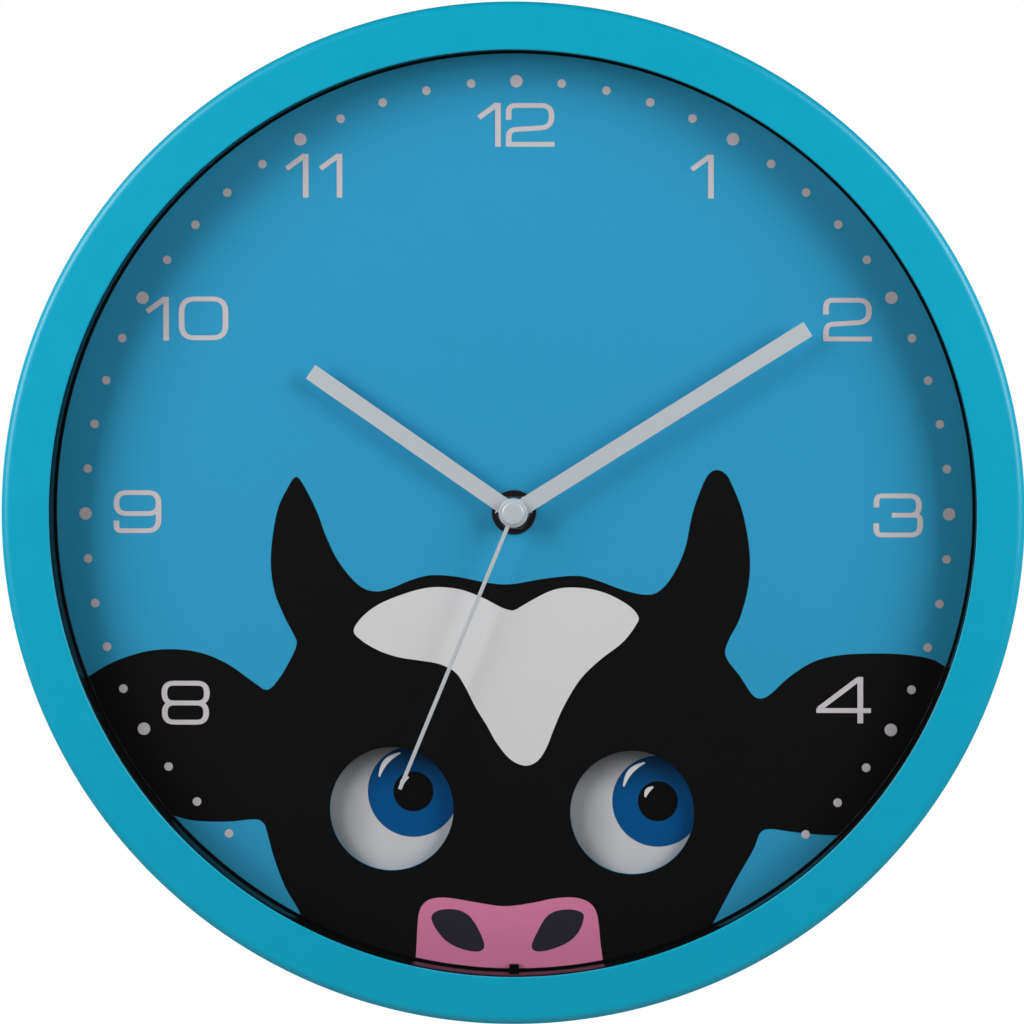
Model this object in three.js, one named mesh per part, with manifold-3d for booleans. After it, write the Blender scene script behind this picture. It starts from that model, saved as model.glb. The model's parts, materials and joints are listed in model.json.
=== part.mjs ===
// A round quartz wall clock with a printed cow dial whose eyes move from side to side.
//
// Millimetres, +Z up, +X to the right as the dial is read, front towards -Y.
// The origin is where the wall screw bears: the top of the hanger's keyhole, on the wall plane y = 0.
// Inside this file each piece is drawn about the arbor, the hands' common axis, which runs along Y.
// The last lines lower the whole clock so that the keyhole comes to the origin.

import * as THREE from 'three';
import { mergeVertices } from 'three/addons/utils/BufferGeometryUtils.js';
import Module from 'manifold-3d';

const wasm = await Module();
wasm.setup();

// ---------------------------------------------------------------- driving dimensions

const CASE_RADIUS = 150;
const CASE_DEPTH = 45;
const CASE_WALL = 1.6;
const LIP_THICKNESS = 1;
const LIP_INNER_RADIUS = 135.9;
const SHOULDER_RADIUS = 2.5;
const ARBOR_BELOW_HOOK = 105;

const SEAT_GAP = 0.2; // between faces that bear on each other
const RUNNING_GAP = 0.3; // between a shaft and its hole
const STACK_RADIUS = CASE_RADIUS - CASE_WALL - 1; // lens, spacer ring and dial all drop in

// A layer of the clock, from its front face to its back face along Y.
const layer = (front, thickness) => ({ front, back: front + thickness });

const LIP = layer(-CASE_DEPTH, LIP_THICKNESS);
const GASKET = layer(LIP.back + SEAT_GAP, 0.4);
const LENS = layer(GASKET.back + SEAT_GAP, 2);
const SPACER = layer(LENS.back + SEAT_GAP, 9.8);
const DIAL = layer(SPACER.back + SEAT_GAP, 1.2);
const BRIDGE = layer(DIAL.back + RUNNING_GAP, 1);
const MOUNTING_GASKET = layer(BRIDGE.back + SEAT_GAP, 0.8);

const SPACER_INNER_RADIUS = 136;
const SPACER_FOOT_RADIUS = 135.3;
const SPACER_WALL = 1.4;
const SPACER_FLANGE = 0.8;

const BUSHING_RADIUS = 3.95;
const BUSHING_BORE = 2.8;
const BUSHING_FRONT = -34;
const DIAL_HOLE_RADIUS = 4.2;

// The movement: a flat plastic box behind the dial, split into a front and a back half.
const HOUSING = {
  halfWidth: 29,
  halfHeight: 30.1,
  wall: 1.5,
  front: MOUNTING_GASKET.back + SEAT_GAP,
  back: -8.8,
};
const HOUSING_SPLIT = -17.5;
const BAY_TOP = -12.9; // the battery bay lies below this height, the wheels above it
const BAY_WALL = 0.9;

// Hands, as angles clockwise from twelve.
const HOUR_HAND = { angle: 304.83, length: 72.8, width: 4.9, hub: 5.3, layer: layer(-35, 0.4) };
const MINUTE_HAND = { angle: 57.95, length: 102.2, width: 4.9, hub: 5.35, layer: layer(-36.6, 0.4) };
const SECOND_HAND = { angle: 202.35, length: 88, width: 1.15, hub: 4.4, layer: layer(-38.2, 0.4) };

// Wheels of the train. Every wheel's place is worked out from its tooth numbers.
const CANNON_TEETH = 12;
const MOTION_WHEEL_TEETH = 36;
const MOTION_PINION_TEETH = 10;
const HOUR_WHEEL_TEETH = 40;
const KNOB_TEETH = 18;
const MOTION_MODULE = 0.5;
const MINUTE_WHEEL_TEETH = 60;
const THIRD_PINION_TEETH = 8;
const THIRD_WHEEL_TEETH = 48;
const SECOND_PINION_TEETH = 6;
const SECOND_WHEEL_TEETH = 60;
const INTERMEDIATE_PINION_TEETH = 12;
const INTERMEDIATE_WHEEL_TEETH = 48;
const ROTOR_TEETH = 8;
const TRAIN_MODULE = 0.3;
const ROTOR_MODULE = 0.25;

// The moving eyes: a printed plate hung behind the dial on two parallel links, swung by a driven arm.
const EYE_HOLE_RADIUS = 18.3;
const EYE_HOLES = [{ x: -36.3, z: -88 }, { x: 34.9, z: -89 }];
const EYE_PLATE_RADIUS = 28;
const EYE_PLATE = layer(-27.6, 1);
const LINK_LENGTH = 40;
const LINK_LEAN = 10.2; // degrees from hanging straight, at the right-hand end of the swing
const LINK_LAYER = layer(-26.2, 1);
const ARM_LAYER = layer(-24.2, 1);
const PIVOT_HEIGHT = -45;
const PIVOT_SPREAD = 30;
const PIVOT_RADIUS = 1.4;
const PIVOT_HOLE_RADIUS = PIVOT_RADIUS + 0.4;

// ---------------------------------------------------------------- materials

const material = (color, roughness, metalness = 0) => (
  new THREE.MeshStandardMaterial({ color, roughness, metalness })
);

const blueLacquer = () => material('#1ba6c6', 0.35);
const blackPlastic = () => material('#17171a', 0.45);
const glossBlack = () => material('#0b0b0d', 0.12);
const dialPrint = () => material('#3296be', 0.6);
const clearGlass = () => {
  const glass = material('#f2fbff', 0.02);
  glass.transparent = true;
  glass.opacity = 0.35;
  return glass;
};
const blackRubber = () => material('#1c1c1c', 0.9);
const handAluminium = () => material('#b9bec3', 0.4, 0.6);
const chrome = () => material('#d6d9dc', 0.12, 1);
const brass = () => material('#b9974a', 0.3, 1);
const bareSteel = () => material('#9a9da1', 0.35, 1);
const darkSteel = () => material('#2c1e1b', 0.5, 0.6);
const whitePlastic = () => material('#ececec', 0.5);
const creamPlastic = () => material('#e4e0d0', 0.55);
const copper = () => material('#b4602f', 0.4, 1);
const circuitGreen = () => material('#1c5b33', 0.5);
const batteryBlue = () => material('#2b3e63', 0.4);

// ---------------------------------------------------------------- solids

// Turns a closed geometry into a manifold solid, whichever way its faces were wound.
function solid(geometry) {
  const bare = new THREE.BufferGeometry();
  const source = geometry.index ? geometry.toNonIndexed() : geometry;
  bare.setAttribute('position', source.getAttribute('position').clone());
  const merged = mergeVertices(bare, 1e-4);
  const positions = merged.getAttribute('position').array;
  const corner = (i) => new THREE.Vector3().fromArray(positions, 3 * i);
  const triangles = [];
  let volume = 0;
  for (let i = 0; i < merged.index.count; i += 3) {
    const [a, b, c] = merged.index.array.slice(i, i + 3);
    if (a !== b && b !== c && c !== a) {
      triangles.push([a, b, c]);
      volume += corner(a).dot(corner(b).cross(corner(c)));
    }
  }
  const facing = triangles.map(([a, b, c]) => (volume < 0 ? [a, c, b] : [a, b, c]));
  const mesh = new wasm.Mesh({
    numProp: 3,
    vertProperties: new Float32Array(positions),
    triVerts: new Uint32Array(facing.flat()),
  });
  return new wasm.Manifold(mesh);
}

const polar = (radius, angle) => new THREE.Vector2(radius * Math.cos(angle), radius * Math.sin(angle));

// A round outline in the dial's plane: x to the right, z up.
function circle(x, z, radius, segments = 24) {
  const points = [];
  for (let i = 0; i < segments; i += 1) {
    points.push(polar(radius, (2 * Math.PI * i) / segments).add(new THREE.Vector2(x, z)));
  }
  return points;
}

const rectangle = (left, right, bottom, top) => [
  new THREE.Vector2(left, bottom),
  new THREE.Vector2(right, bottom),
  new THREE.Vector2(right, top),
  new THREE.Vector2(left, top),
];

// A flat plate with the given outline and holes, filling one layer.
function plate(outline, holes, { front, back }) {
  const shape = new THREE.Shape(outline);
  shape.holes = holes.map((points) => new THREE.Path(points));
  const geometry = new THREE.ExtrudeGeometry(shape, { depth: back - front, bevelEnabled: false });
  geometry.rotateX(Math.PI / 2);
  geometry.translate(0, back, 0);
  return solid(geometry);
}

// A solid of revolution about the arbor, or about a parallel axis at (x, z). Its profile is [radius, y].
function turned(profile, segments = 24, x = 0, z = 0) {
  const onAxis = profile[0][0] === 0 && profile[profile.length - 1][0] === 0;
  const points = profile.map(([radius, y]) => new THREE.Vector2(radius, y));
  if (!onAxis) {
    points.push(points[0].clone());
  }
  const geometry = new THREE.LatheGeometry(points, segments);
  geometry.translate(x, 0, z);
  return solid(geometry);
}

const disc = (x, z, radius, span, segments) => plate(circle(x, z, radius, segments), [], span);

const ring = (x, z, outer, inner, span, segments) => (
  plate(circle(x, z, outer, segments), [circle(x, z, inner, segments)], span)
);

const block = (left, right, bottom, top, span) => plate(rectangle(left, right, bottom, top), [], span);

// Joins solids one after another.
const joined = (...solids) => solids.reduce((whole, piece) => whole.add(piece));

// ---------------------------------------------------------------- gears

const TOOTH_TIP = 0.75; // of the module, above the pitch circle
const TOOTH_ROOT = 1.15; // of the module, below it

// Fine pointed teeth: each runs straight from its tip down to the valleys on either side.
function gearOutline(x, z, teeth, module, phase) {
  const pitchRadius = (teeth * module) / 2;
  const tip = pitchRadius + TOOTH_TIP * module;
  const root = pitchRadius - TOOTH_ROOT * module;
  const step = (2 * Math.PI) / teeth;
  const points = [];
  for (let tooth = 0; tooth < teeth; tooth += 1) {
    points.push(polar(tip, phase + tooth * step));
    points.push(polar(root, phase + (tooth + 0.5) * step));
  }
  return points.map((point) => point.add(new THREE.Vector2(x, z)));
}

// The phase that puts a gap of the second gear on a tooth of the first, along the line of their centres.
function meshedPhase(teeth, phase, direction, otherTeeth) {
  const turn = 2 * Math.PI;
  const share = ((direction - phase) * teeth) / turn;
  return direction + Math.PI - ((0.5 - share) * turn) / otherTeeth;
}

const centreDistance = (teeth, otherTeeth, module) => ((teeth + otherTeeth) * module) / 2;

const MOTION_DIRECTION = Math.PI / 3;
const MOTION_DISTANCE = centreDistance(CANNON_TEETH, MOTION_WHEEL_TEETH, MOTION_MODULE);
const MOTION_CENTRE = polar(MOTION_DISTANCE, MOTION_DIRECTION);
const HOUR_MODULE = (2 * MOTION_DISTANCE) / (HOUR_WHEEL_TEETH + MOTION_PINION_TEETH);
const KNOB_DISTANCE = centreDistance(MOTION_WHEEL_TEETH, KNOB_TEETH, MOTION_MODULE);
const KNOB_CENTRE = MOTION_CENTRE.clone().add(polar(KNOB_DISTANCE, MOTION_DIRECTION));
const THIRD_DIRECTION = 0;
const THIRD_DISTANCE = centreDistance(MINUTE_WHEEL_TEETH, THIRD_PINION_TEETH, TRAIN_MODULE);
const THIRD_CENTRE = polar(THIRD_DISTANCE, THIRD_DIRECTION);
const THIRD_MODULE = (2 * THIRD_DISTANCE) / (THIRD_WHEEL_TEETH + SECOND_PINION_TEETH);
const INTERMEDIATE_DIRECTION = (5 * Math.PI) / 6;
const INTERMEDIATE_CENTRE = polar(
  centreDistance(SECOND_WHEEL_TEETH, INTERMEDIATE_PINION_TEETH, TRAIN_MODULE),
  INTERMEDIATE_DIRECTION,
);
const ROTOR_DIRECTION = Math.PI / 2;
const ROTOR_CENTRE = INTERMEDIATE_CENTRE.clone().add(
  polar(centreDistance(INTERMEDIATE_WHEEL_TEETH, ROTOR_TEETH, ROTOR_MODULE), ROTOR_DIRECTION),
);

// Layers of the wheels, from the front of the movement to its back.
const HOUR_WHEEL_LAYER = layer(-25.3, 1);
const MOTION_WHEEL_LAYER = layer(-23.7, 1);
const MINUTE_WHEEL_LAYER = layer(-21.9, 0.8);
const THIRD_WHEEL_LAYER = layer(-19.6, 0.8);
const SECOND_WHEEL_LAYER = layer(-17.9, 0.8);
const INTERMEDIATE_WHEEL_LAYER = layer(-16.3, 0.8);
const ROTOR_MAGNET_LAYER = layer(-15, 2.2);
const STATOR_LAYER = layer(-14.4, 1);
const PIVOT_END = -10.9; // where the wheels' rear pivots end, inside their bosses
const TRAIN_PIVOT_RADIUS = 0.4;
const SECOND_ARBOR_RADIUS = 0.45;
const MINUTE_ARBOR_RADIUS = 1.5;
const HOUR_PIPE_RADIUS = 2.5;
const MOTION_POST_RADIUS = 0.6;
const KNOB_SHAFT_RADIUS = 1.2;
const SMALL = 12; // segments on the smallest round pieces

// ---------------------------------------------------------------- case and dial

// Places round the case wall where the rear cover's rim is screwed to it.
const CASE_SCREW_ANGLES = [110, 230, 350];
const CASE_SCREW_Y = -12;
const SCREW_HOLE_RADIUS = 1.7;
const RING_SEGMENTS = 60;

// A round bar from one distance from the arbor to another, at right angles to it.
function radialBar(profile, angleDegrees, y) {
  const points = profile.map(([radius, distance]) => new THREE.Vector2(radius, distance));
  const geometry = new THREE.LatheGeometry(points, SMALL);
  geometry.rotateZ(-Math.PI / 2);
  geometry.rotateY(-THREE.MathUtils.degToRad(angleDegrees));
  geometry.translate(0, y, 0);
  return solid(geometry);
}

const wallHole = (angle, radius) => (
  radialBar([[0, 140], [radius, 140], [radius, 155], [0, 155]], angle, CASE_SCREW_Y)
);

// A pressed metal ring: flat front, rounded shoulder, straight side.
function caseShell() {
  const shoulder = [];
  const arcSteps = 4;
  for (let i = 0; i <= arcSteps; i += 1) {
    const angle = (Math.PI / 2) * (1 - i / arcSteps);
    shoulder.push([
      CASE_RADIUS - SHOULDER_RADIUS + SHOULDER_RADIUS * Math.cos(angle),
      LIP.front + SHOULDER_RADIUS - SHOULDER_RADIUS * Math.sin(angle),
    ]);
  }
  const edge = 0.4;
  let shell = turned([
    [LIP_INNER_RADIUS, LIP.back],
    [LIP_INNER_RADIUS, LIP.front + edge],
    [LIP_INNER_RADIUS + edge, LIP.front],
    ...shoulder,
    [CASE_RADIUS, 0],
    [CASE_RADIUS - CASE_WALL, 0],
    [CASE_RADIUS - CASE_WALL, LIP.back],
  ], RING_SEGMENTS);
  for (const angle of CASE_SCREW_ANGLES) {
    shell = shell.subtract(wallHole(angle, SCREW_HOLE_RADIUS));
  }
  return shell;
}

const lensGasket = () => ring(0, 0, STACK_RADIUS, 138, GASKET, RING_SEGMENTS);

const lens = () => disc(0, 0, STACK_RADIUS, LENS, RING_SEGMENTS);

// A channel that is open outwards. Its foot shows as a fine edge on the dial, with a locating key at six.
function spacerRing() {
  const outerWall = SPACER_INNER_RADIUS + SPACER_WALL;
  const channel = turned([
    [SPACER_INNER_RADIUS, SPACER.front],
    [STACK_RADIUS, SPACER.front],
    [STACK_RADIUS, SPACER.front + SPACER_FLANGE],
    [outerWall, SPACER.front + SPACER_FLANGE],
    [outerWall, SPACER.back - SPACER_FLANGE],
    [STACK_RADIUS, SPACER.back - SPACER_FLANGE],
    [STACK_RADIUS, SPACER.back],
    [SPACER_FOOT_RADIUS, SPACER.back],
    [SPACER_FOOT_RADIUS, SPACER.back - SPACER_FLANGE],
    [SPACER_INNER_RADIUS, SPACER.back - SPACER_FLANGE],
  ], RING_SEGMENTS);
  const key = layer(SPACER.back - 2, 2);
  return channel.add(block(-1.4, 1.4, -SPACER_INNER_RADIUS - 0.5, -SPACER_FOOT_RADIUS + 1.4, key));
}

function dial() {
  const holes = [circle(0, 0, DIAL_HOLE_RADIUS)];
  for (const eye of EYE_HOLES) {
    holes.push(circle(eye.x, eye.z, EYE_HOLE_RADIUS, 40));
  }
  return plate(circle(0, 0, STACK_RADIUS, RING_SEGMENTS), holes, DIAL);
}

// ---------------------------------------------------------------- rear cover and hanger

const COVER = layer(-5, 1.5);
const COVER_RIM_WALL = 1.6;
const WINDOW = { halfWidth: 31.5, halfHeight: 32.5 };
const HANGER_PLATE = layer(-3.2, 1);
const KEYHOLE = { top: ARBOR_BELOW_HOOK, slotRadius: 2.5, headRadius: 5.2, headDrop: 13 };
const RIVETS = [{ x: -13, z: 99 }, { x: 13, z: 99 }];
const RIVET_RADIUS = 1.2;
const BUMPERS = [{ x: -80, z: -105 }, { x: 80, z: -105 }];

// A shallow pan whose rim presses the dial, spacer ring and lens up against the lip of the case.
function rearCover() {
  const rimFront = DIAL.back + RUNNING_GAP;
  let pan = turned([
    [0, COVER.back],
    [STACK_RADIUS, COVER.back],
    [STACK_RADIUS, rimFront],
    [STACK_RADIUS - COVER_RIM_WALL, rimFront],
    [STACK_RADIUS - COVER_RIM_WALL, COVER.front],
    [0, COVER.front],
  ], RING_SEGMENTS);
  const through = layer(COVER.front - 1, 4);
  const { halfWidth, halfHeight } = WINDOW;
  pan = pan.subtract(block(-halfWidth, halfWidth, -halfHeight, halfHeight, through));
  pan = pan.subtract(block(-8, 8, KEYHOLE.top - 24, KEYHOLE.top + 4, through));
  for (const rivet of RIVETS) {
    pan = pan.subtract(disc(rivet.x, rivet.z, RIVET_RADIUS + RUNNING_GAP, through, SMALL));
  }
  for (const angle of CASE_SCREW_ANGLES) {
    pan = pan.subtract(wallHole(angle, SCREW_HOLE_RADIUS));
  }
  return pan;
}

const caseScrew = (angle) => {
  const headSeat = CASE_RADIUS + SEAT_GAP;
  const shank = 1.3;
  const head = 2.8;
  return radialBar([
    [0, 144],
    [shank, 144.8],
    [shank, headSeat],
    [head, headSeat],
    [head, headSeat + 0.7],
    [1.6, headSeat + 1.3],
    [0, headSeat + 1.3],
  ], angle, CASE_SCREW_Y);
};

// Steel plate with the keyhole: the screw head passes the round end and the shank slides up the slot.
function hangerPlate() {
  const slotCentre = KEYHOLE.top - KEYHOLE.slotRadius;
  const headCentre = KEYHOLE.top - KEYHOLE.headDrop;
  const holes = RIVETS.map((rivet) => circle(rivet.x, rivet.z, RIVET_RADIUS + RUNNING_GAP, SMALL));
  const through = layer(HANGER_PLATE.front - 1, 3);
  return plate(rectangle(-18, 18, KEYHOLE.top - 27, KEYHOLE.top + 8), holes, HANGER_PLATE)
    .subtract(disc(0, slotCentre, KEYHOLE.slotRadius, through, 24))
    .subtract(block(-KEYHOLE.slotRadius, KEYHOLE.slotRadius, headCentre, slotCentre, through))
    .subtract(disc(0, headCentre, KEYHOLE.headRadius, through, 24));
}

const hangerRivet = ({ x, z }) => turned([
  [0, -1.1],
  [2, -1.1],
  [3, -1.6],
  [3, HANGER_PLATE.back + SEAT_GAP],
  [RIVET_RADIUS, HANGER_PLATE.back + SEAT_GAP],
  [RIVET_RADIUS, COVER.front - SEAT_GAP],
  [2.2, COVER.front - SEAT_GAP],
  [2.2, COVER.front - 0.9],
  [0, COVER.front - 0.9],
], SMALL, x, z);

const wallBumper = ({ x, z }) => turned([
  [0, COVER.back + SEAT_GAP],
  [7, COVER.back + SEAT_GAP],
  [6.4, -0.5],
  [5.6, 0],
  [0, 0],
], 24, x, z);

// ---------------------------------------------------------------- movement: housing and fastening

function movementFront() {
  const { halfWidth, halfHeight, wall, front } = HOUSING;
  const shell = layer(front, HOUSING_SPLIT - 0.1 - front);
  const hollow = layer(front + wall, HOUSING_SPLIT - front);
  const post = layer(front + wall - 0.3, 3.7);
  const inner = halfWidth - wall;
  return block(-halfWidth, halfWidth, -halfHeight, halfHeight, shell)
    .subtract(block(-inner, inner, BAY_TOP + BAY_WALL, halfHeight - wall, hollow))
    .subtract(block(-inner, inner, wall - halfHeight, BAY_TOP, hollow))
    .subtract(disc(0, 0, BUSHING_RADIUS + RUNNING_GAP, layer(front - 1, 4), 24))
    .add(disc(MOTION_CENTRE.x, MOTION_CENTRE.y, MOTION_POST_RADIUS, post, SMALL));
}

function movementBack() {
  const { halfWidth, halfHeight, wall, back } = HOUSING;
  const shell = layer(HOUSING_SPLIT + 0.1, back - HOUSING_SPLIT - 0.1);
  const hollow = layer(HOUSING_SPLIT, back - wall - HOUSING_SPLIT);
  const through = layer(HOUSING_SPLIT, 12);
  const inner = halfWidth - wall;
  let half = block(-halfWidth, halfWidth, -halfHeight, halfHeight, shell)
    .subtract(block(-inner, inner, BAY_TOP + BAY_WALL, halfHeight - wall, hollow))
    .subtract(block(-inner, inner, wall - halfHeight, BAY_TOP, through))
    .subtract(disc(KNOB_CENTRE.x, KNOB_CENTRE.y, KNOB_SHAFT_RADIUS + RUNNING_GAP, through, SMALL));
  const boss = layer(-12.2, back - wall + 0.2 + 12.2);
  const pivot = layer(-13, back - wall + 13);
  for (const centre of [new THREE.Vector2(0, 0), THIRD_CENTRE, INTERMEDIATE_CENTRE, ROTOR_CENTRE]) {
    half = half.add(disc(centre.x, centre.y, 1.7, boss, SMALL));
    half = half.subtract(disc(centre.x, centre.y, SECOND_ARBOR_RADIUS + RUNNING_GAP, pivot, SMALL));
  }
  return half;
}

// The brass tube that carries the movement through the dial. Its flange bears on the housing.
const threadedBushing = () => turned([
  [BUSHING_BORE, BUSHING_FRONT],
  [BUSHING_RADIUS - 0.3, BUSHING_FRONT],
  [BUSHING_RADIUS, BUSHING_FRONT + 0.3],
  [BUSHING_RADIUS, MOUNTING_GASKET.front],
  [6.5, MOUNTING_GASKET.front],
  [6.5, MOUNTING_GASKET.back],
  [BUSHING_RADIUS, MOUNTING_GASKET.back],
  [BUSHING_RADIUS, HOUSING.front + 1.4],
  [BUSHING_BORE, HOUSING.front + 1.4],
]);

const mountingGasket = () => ring(0, 0, 13, 7, MOUNTING_GASKET, 24);

const DIAL_WASHER = layer(DIAL.front - SEAT_GAP - 0.5, 0.5);
const BUSHING_NUT = layer(DIAL_WASHER.front - SEAT_GAP - 2, 2);

const dialWasher = () => ring(0, 0, 6.55, DIAL_HOLE_RADIUS, DIAL_WASHER, 24);

const bushingNut = () => (
  plate(circle(0, 0, 5.5, 6), [circle(0, 0, DIAL_HOLE_RADIUS, 24)], BUSHING_NUT)
);

// ---------------------------------------------------------------- hands

// A straight hand with square ends and a round hub, turned clockwise from twelve by its angle.
function handBlade({ angle, length, width, hub, layer: span }) {
  const heading = THREE.MathUtils.degToRad(90 - angle);
  const corners = rectangle(0, length, -width / 2, width / 2);
  corners.forEach((point) => point.rotateAround(new THREE.Vector2(), heading));
  return joined(plate(corners, [], span), disc(0, 0, hub, span, 24));
}

const PRESS_GAP = 0.1;

function hourHand() {
  const { back } = HOUR_HAND.layer;
  const collar = disc(0, 0, 3.6, layer(back - 0.2, 0.5), 24);
  const bore = disc(0, 0, HOUR_PIPE_RADIUS + PRESS_GAP, layer(back - 2, 4), 24);
  return handBlade(HOUR_HAND).add(collar).subtract(bore);
}

function minuteHand() {
  const { back } = MINUTE_HAND.layer;
  const bore = disc(0, 0, MINUTE_ARBOR_RADIUS + PRESS_GAP, layer(back - 2, 4), 24);
  return handBlade(MINUTE_HAND).subtract(bore);
}

function secondHand() {
  const { front, back } = SECOND_HAND.layer;
  const cap = turned([
    [0, front - 1.4],
    [2.6, front - 1.4],
    [3.4, front - 0.8],
    [3.4, back],
    [0, back],
  ]);
  const socket = disc(0, 0, SECOND_ARBOR_RADIUS + PRESS_GAP, layer(back - 1.2, 2), SMALL);
  return handBlade(SECOND_HAND).add(cap).subtract(socket);
}

// ---------------------------------------------------------------- wheels

const wheel = (centre, teeth, module, phase, span) => (
  plate(gearOutline(centre.x, centre.y, teeth, module, phase), [], span)
);

const ARBOR = new THREE.Vector2(0, 0);

// A pinion's layer, from its front face to just inside the wheel behind it.
const bridging = (front, wheelLayer) => layer(front, wheelLayer.front + 0.2 - front);

// Hour wheel with the pipe that carries the hour hand.
function hourWheel() {
  const pipe = disc(0, 0, HOUR_PIPE_RADIUS, layer(-35.5, 11), 24);
  return wheel(ARBOR, HOUR_WHEEL_TEETH, HOUR_MODULE, 0, HOUR_WHEEL_LAYER)
    .add(pipe)
    .subtract(disc(0, 0, MINUTE_ARBOR_RADIUS + RUNNING_GAP, layer(-37, 14), 24));
}

// Cannon pinion on the tubular arbor that carries the minute hand.
function cannonPinion() {
  const tube = disc(0, 0, MINUTE_ARBOR_RADIUS, layer(-37.1, 16.2), 24);
  const teeth = layer(MOTION_WHEEL_LAYER.front - 0.2, 1.6);
  return wheel(ARBOR, CANNON_TEETH, MOTION_MODULE, 0, teeth)
    .add(tube)
    .subtract(disc(0, 0, SECOND_ARBOR_RADIUS + RUNNING_GAP, layer(-38, 18), SMALL));
}

const motionWheelPhase = meshedPhase(CANNON_TEETH, 0, MOTION_DIRECTION, MOTION_WHEEL_TEETH);

function motionWheel() {
  const pinionPhase = meshedPhase(HOUR_WHEEL_TEETH, 0, MOTION_DIRECTION, MOTION_PINION_TEETH);
  const pinion = bridging(HOUR_WHEEL_LAYER.front - 0.1, MOTION_WHEEL_LAYER);
  const { x, y: z } = MOTION_CENTRE;
  return wheel(MOTION_CENTRE, MOTION_WHEEL_TEETH, MOTION_MODULE, motionWheelPhase, MOTION_WHEEL_LAYER)
    .add(wheel(MOTION_CENTRE, MOTION_PINION_TEETH, HOUR_MODULE, pinionPhase, pinion))
    .subtract(disc(x, z, MOTION_POST_RADIUS + RUNNING_GAP, layer(-27, 6), SMALL));
}

// Wheel of the going train that drives the cannon pinion through a slipping clutch.
const minuteWheel = () => (
  wheel(ARBOR, MINUTE_WHEEL_TEETH, TRAIN_MODULE, 0, MINUTE_WHEEL_LAYER)
    .subtract(disc(0, 0, MINUTE_ARBOR_RADIUS + RUNNING_GAP, layer(-23, 3), 24))
);

function thirdWheel() {
  const wheelPhase = meshedPhase(SECOND_PINION_TEETH, 0, THIRD_DIRECTION, THIRD_WHEEL_TEETH);
  const pinionPhase = meshedPhase(MINUTE_WHEEL_TEETH, 0, THIRD_DIRECTION, THIRD_PINION_TEETH);
  const { x, y: z } = THIRD_CENTRE;
  const pinion = bridging(-22.2, THIRD_WHEEL_LAYER);
  return wheel(THIRD_CENTRE, THIRD_WHEEL_TEETH, THIRD_MODULE, wheelPhase, THIRD_WHEEL_LAYER)
    .add(wheel(THIRD_CENTRE, THIRD_PINION_TEETH, TRAIN_MODULE, pinionPhase, pinion))
    .add(disc(x, z, TRAIN_PIVOT_RADIUS, layer(-22.5, PIVOT_END + 22.5), SMALL));
}

function secondWheel() {
  const pinion = bridging(THIRD_WHEEL_LAYER.front - 0.4, SECOND_WHEEL_LAYER);
  return wheel(ARBOR, SECOND_WHEEL_TEETH, TRAIN_MODULE, 0, SECOND_WHEEL_LAYER)
    .add(wheel(ARBOR, SECOND_PINION_TEETH, THIRD_MODULE, 0, pinion))
    .add(disc(0, 0, SECOND_ARBOR_RADIUS, layer(-38, PIVOT_END + 38), SMALL));
}

function intermediateWheel() {
  const { x, y: z } = INTERMEDIATE_CENTRE;
  const teeth = INTERMEDIATE_PINION_TEETH;
  const pinionPhase = meshedPhase(SECOND_WHEEL_TEETH, 0, INTERMEDIATE_DIRECTION, teeth);
  const pinion = bridging(SECOND_WHEEL_LAYER.front - 0.2, INTERMEDIATE_WHEEL_LAYER);
  return wheel(INTERMEDIATE_CENTRE, INTERMEDIATE_WHEEL_TEETH, ROTOR_MODULE, 0, INTERMEDIATE_WHEEL_LAYER)
    .add(wheel(INTERMEDIATE_CENTRE, teeth, TRAIN_MODULE, pinionPhase, pinion))
    .add(disc(x, z, TRAIN_PIVOT_RADIUS, layer(-18.6, PIVOT_END + 18.6), SMALL));
}

// Stepping rotor: a small pinion on a round magnet.
function rotor() {
  const { x, y: z } = ROTOR_CENTRE;
  const phase = meshedPhase(INTERMEDIATE_WHEEL_TEETH, 0, ROTOR_DIRECTION, ROTOR_TEETH);
  const pinion = bridging(INTERMEDIATE_WHEEL_LAYER.front - 0.2, ROTOR_MAGNET_LAYER);
  return wheel(ROTOR_CENTRE, ROTOR_TEETH, ROTOR_MODULE, phase, pinion)
    .add(disc(x, z, 2.5, ROTOR_MAGNET_LAYER, 24))
    .add(disc(x, z, TRAIN_PIVOT_RADIUS, layer(-17, PIVOT_END + 17), SMALL));
}

// ---------------------------------------------------------------- motor, electronics and battery

const COIL_HEIGHT = 24; // above the arbor
const COIL = { left: -20.3, right: 1.8, radius: 3.1 };

// A U of soft iron: the rotor turns in the hole of its foot, and the coil sits between its two arms.
const stator = () => plate([
  new THREE.Vector2(-24, 8),
  new THREE.Vector2(5.5, 8),
  new THREE.Vector2(5.5, COIL_HEIGHT + 3),
  new THREE.Vector2(2.2, COIL_HEIGHT + 3),
  new THREE.Vector2(2.2, 17),
  new THREE.Vector2(-20.7, 17),
  new THREE.Vector2(-20.7, COIL_HEIGHT + 3),
  new THREE.Vector2(-24, COIL_HEIGHT + 3),
], [circle(ROTOR_CENTRE.x, ROTOR_CENTRE.y, 3.1, 24)], STATOR_LAYER);

// A bar along X at the given depth and height. Its profile is [radius, x].
function crosswise(profile, y, z, segments = 24) {
  const points = profile.map(([radius, x]) => new THREE.Vector2(radius, -x));
  const geometry = new THREE.LatheGeometry(points, segments);
  geometry.rotateZ(Math.PI / 2);
  geometry.translate(0, y, z);
  return solid(geometry);
}

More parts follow.
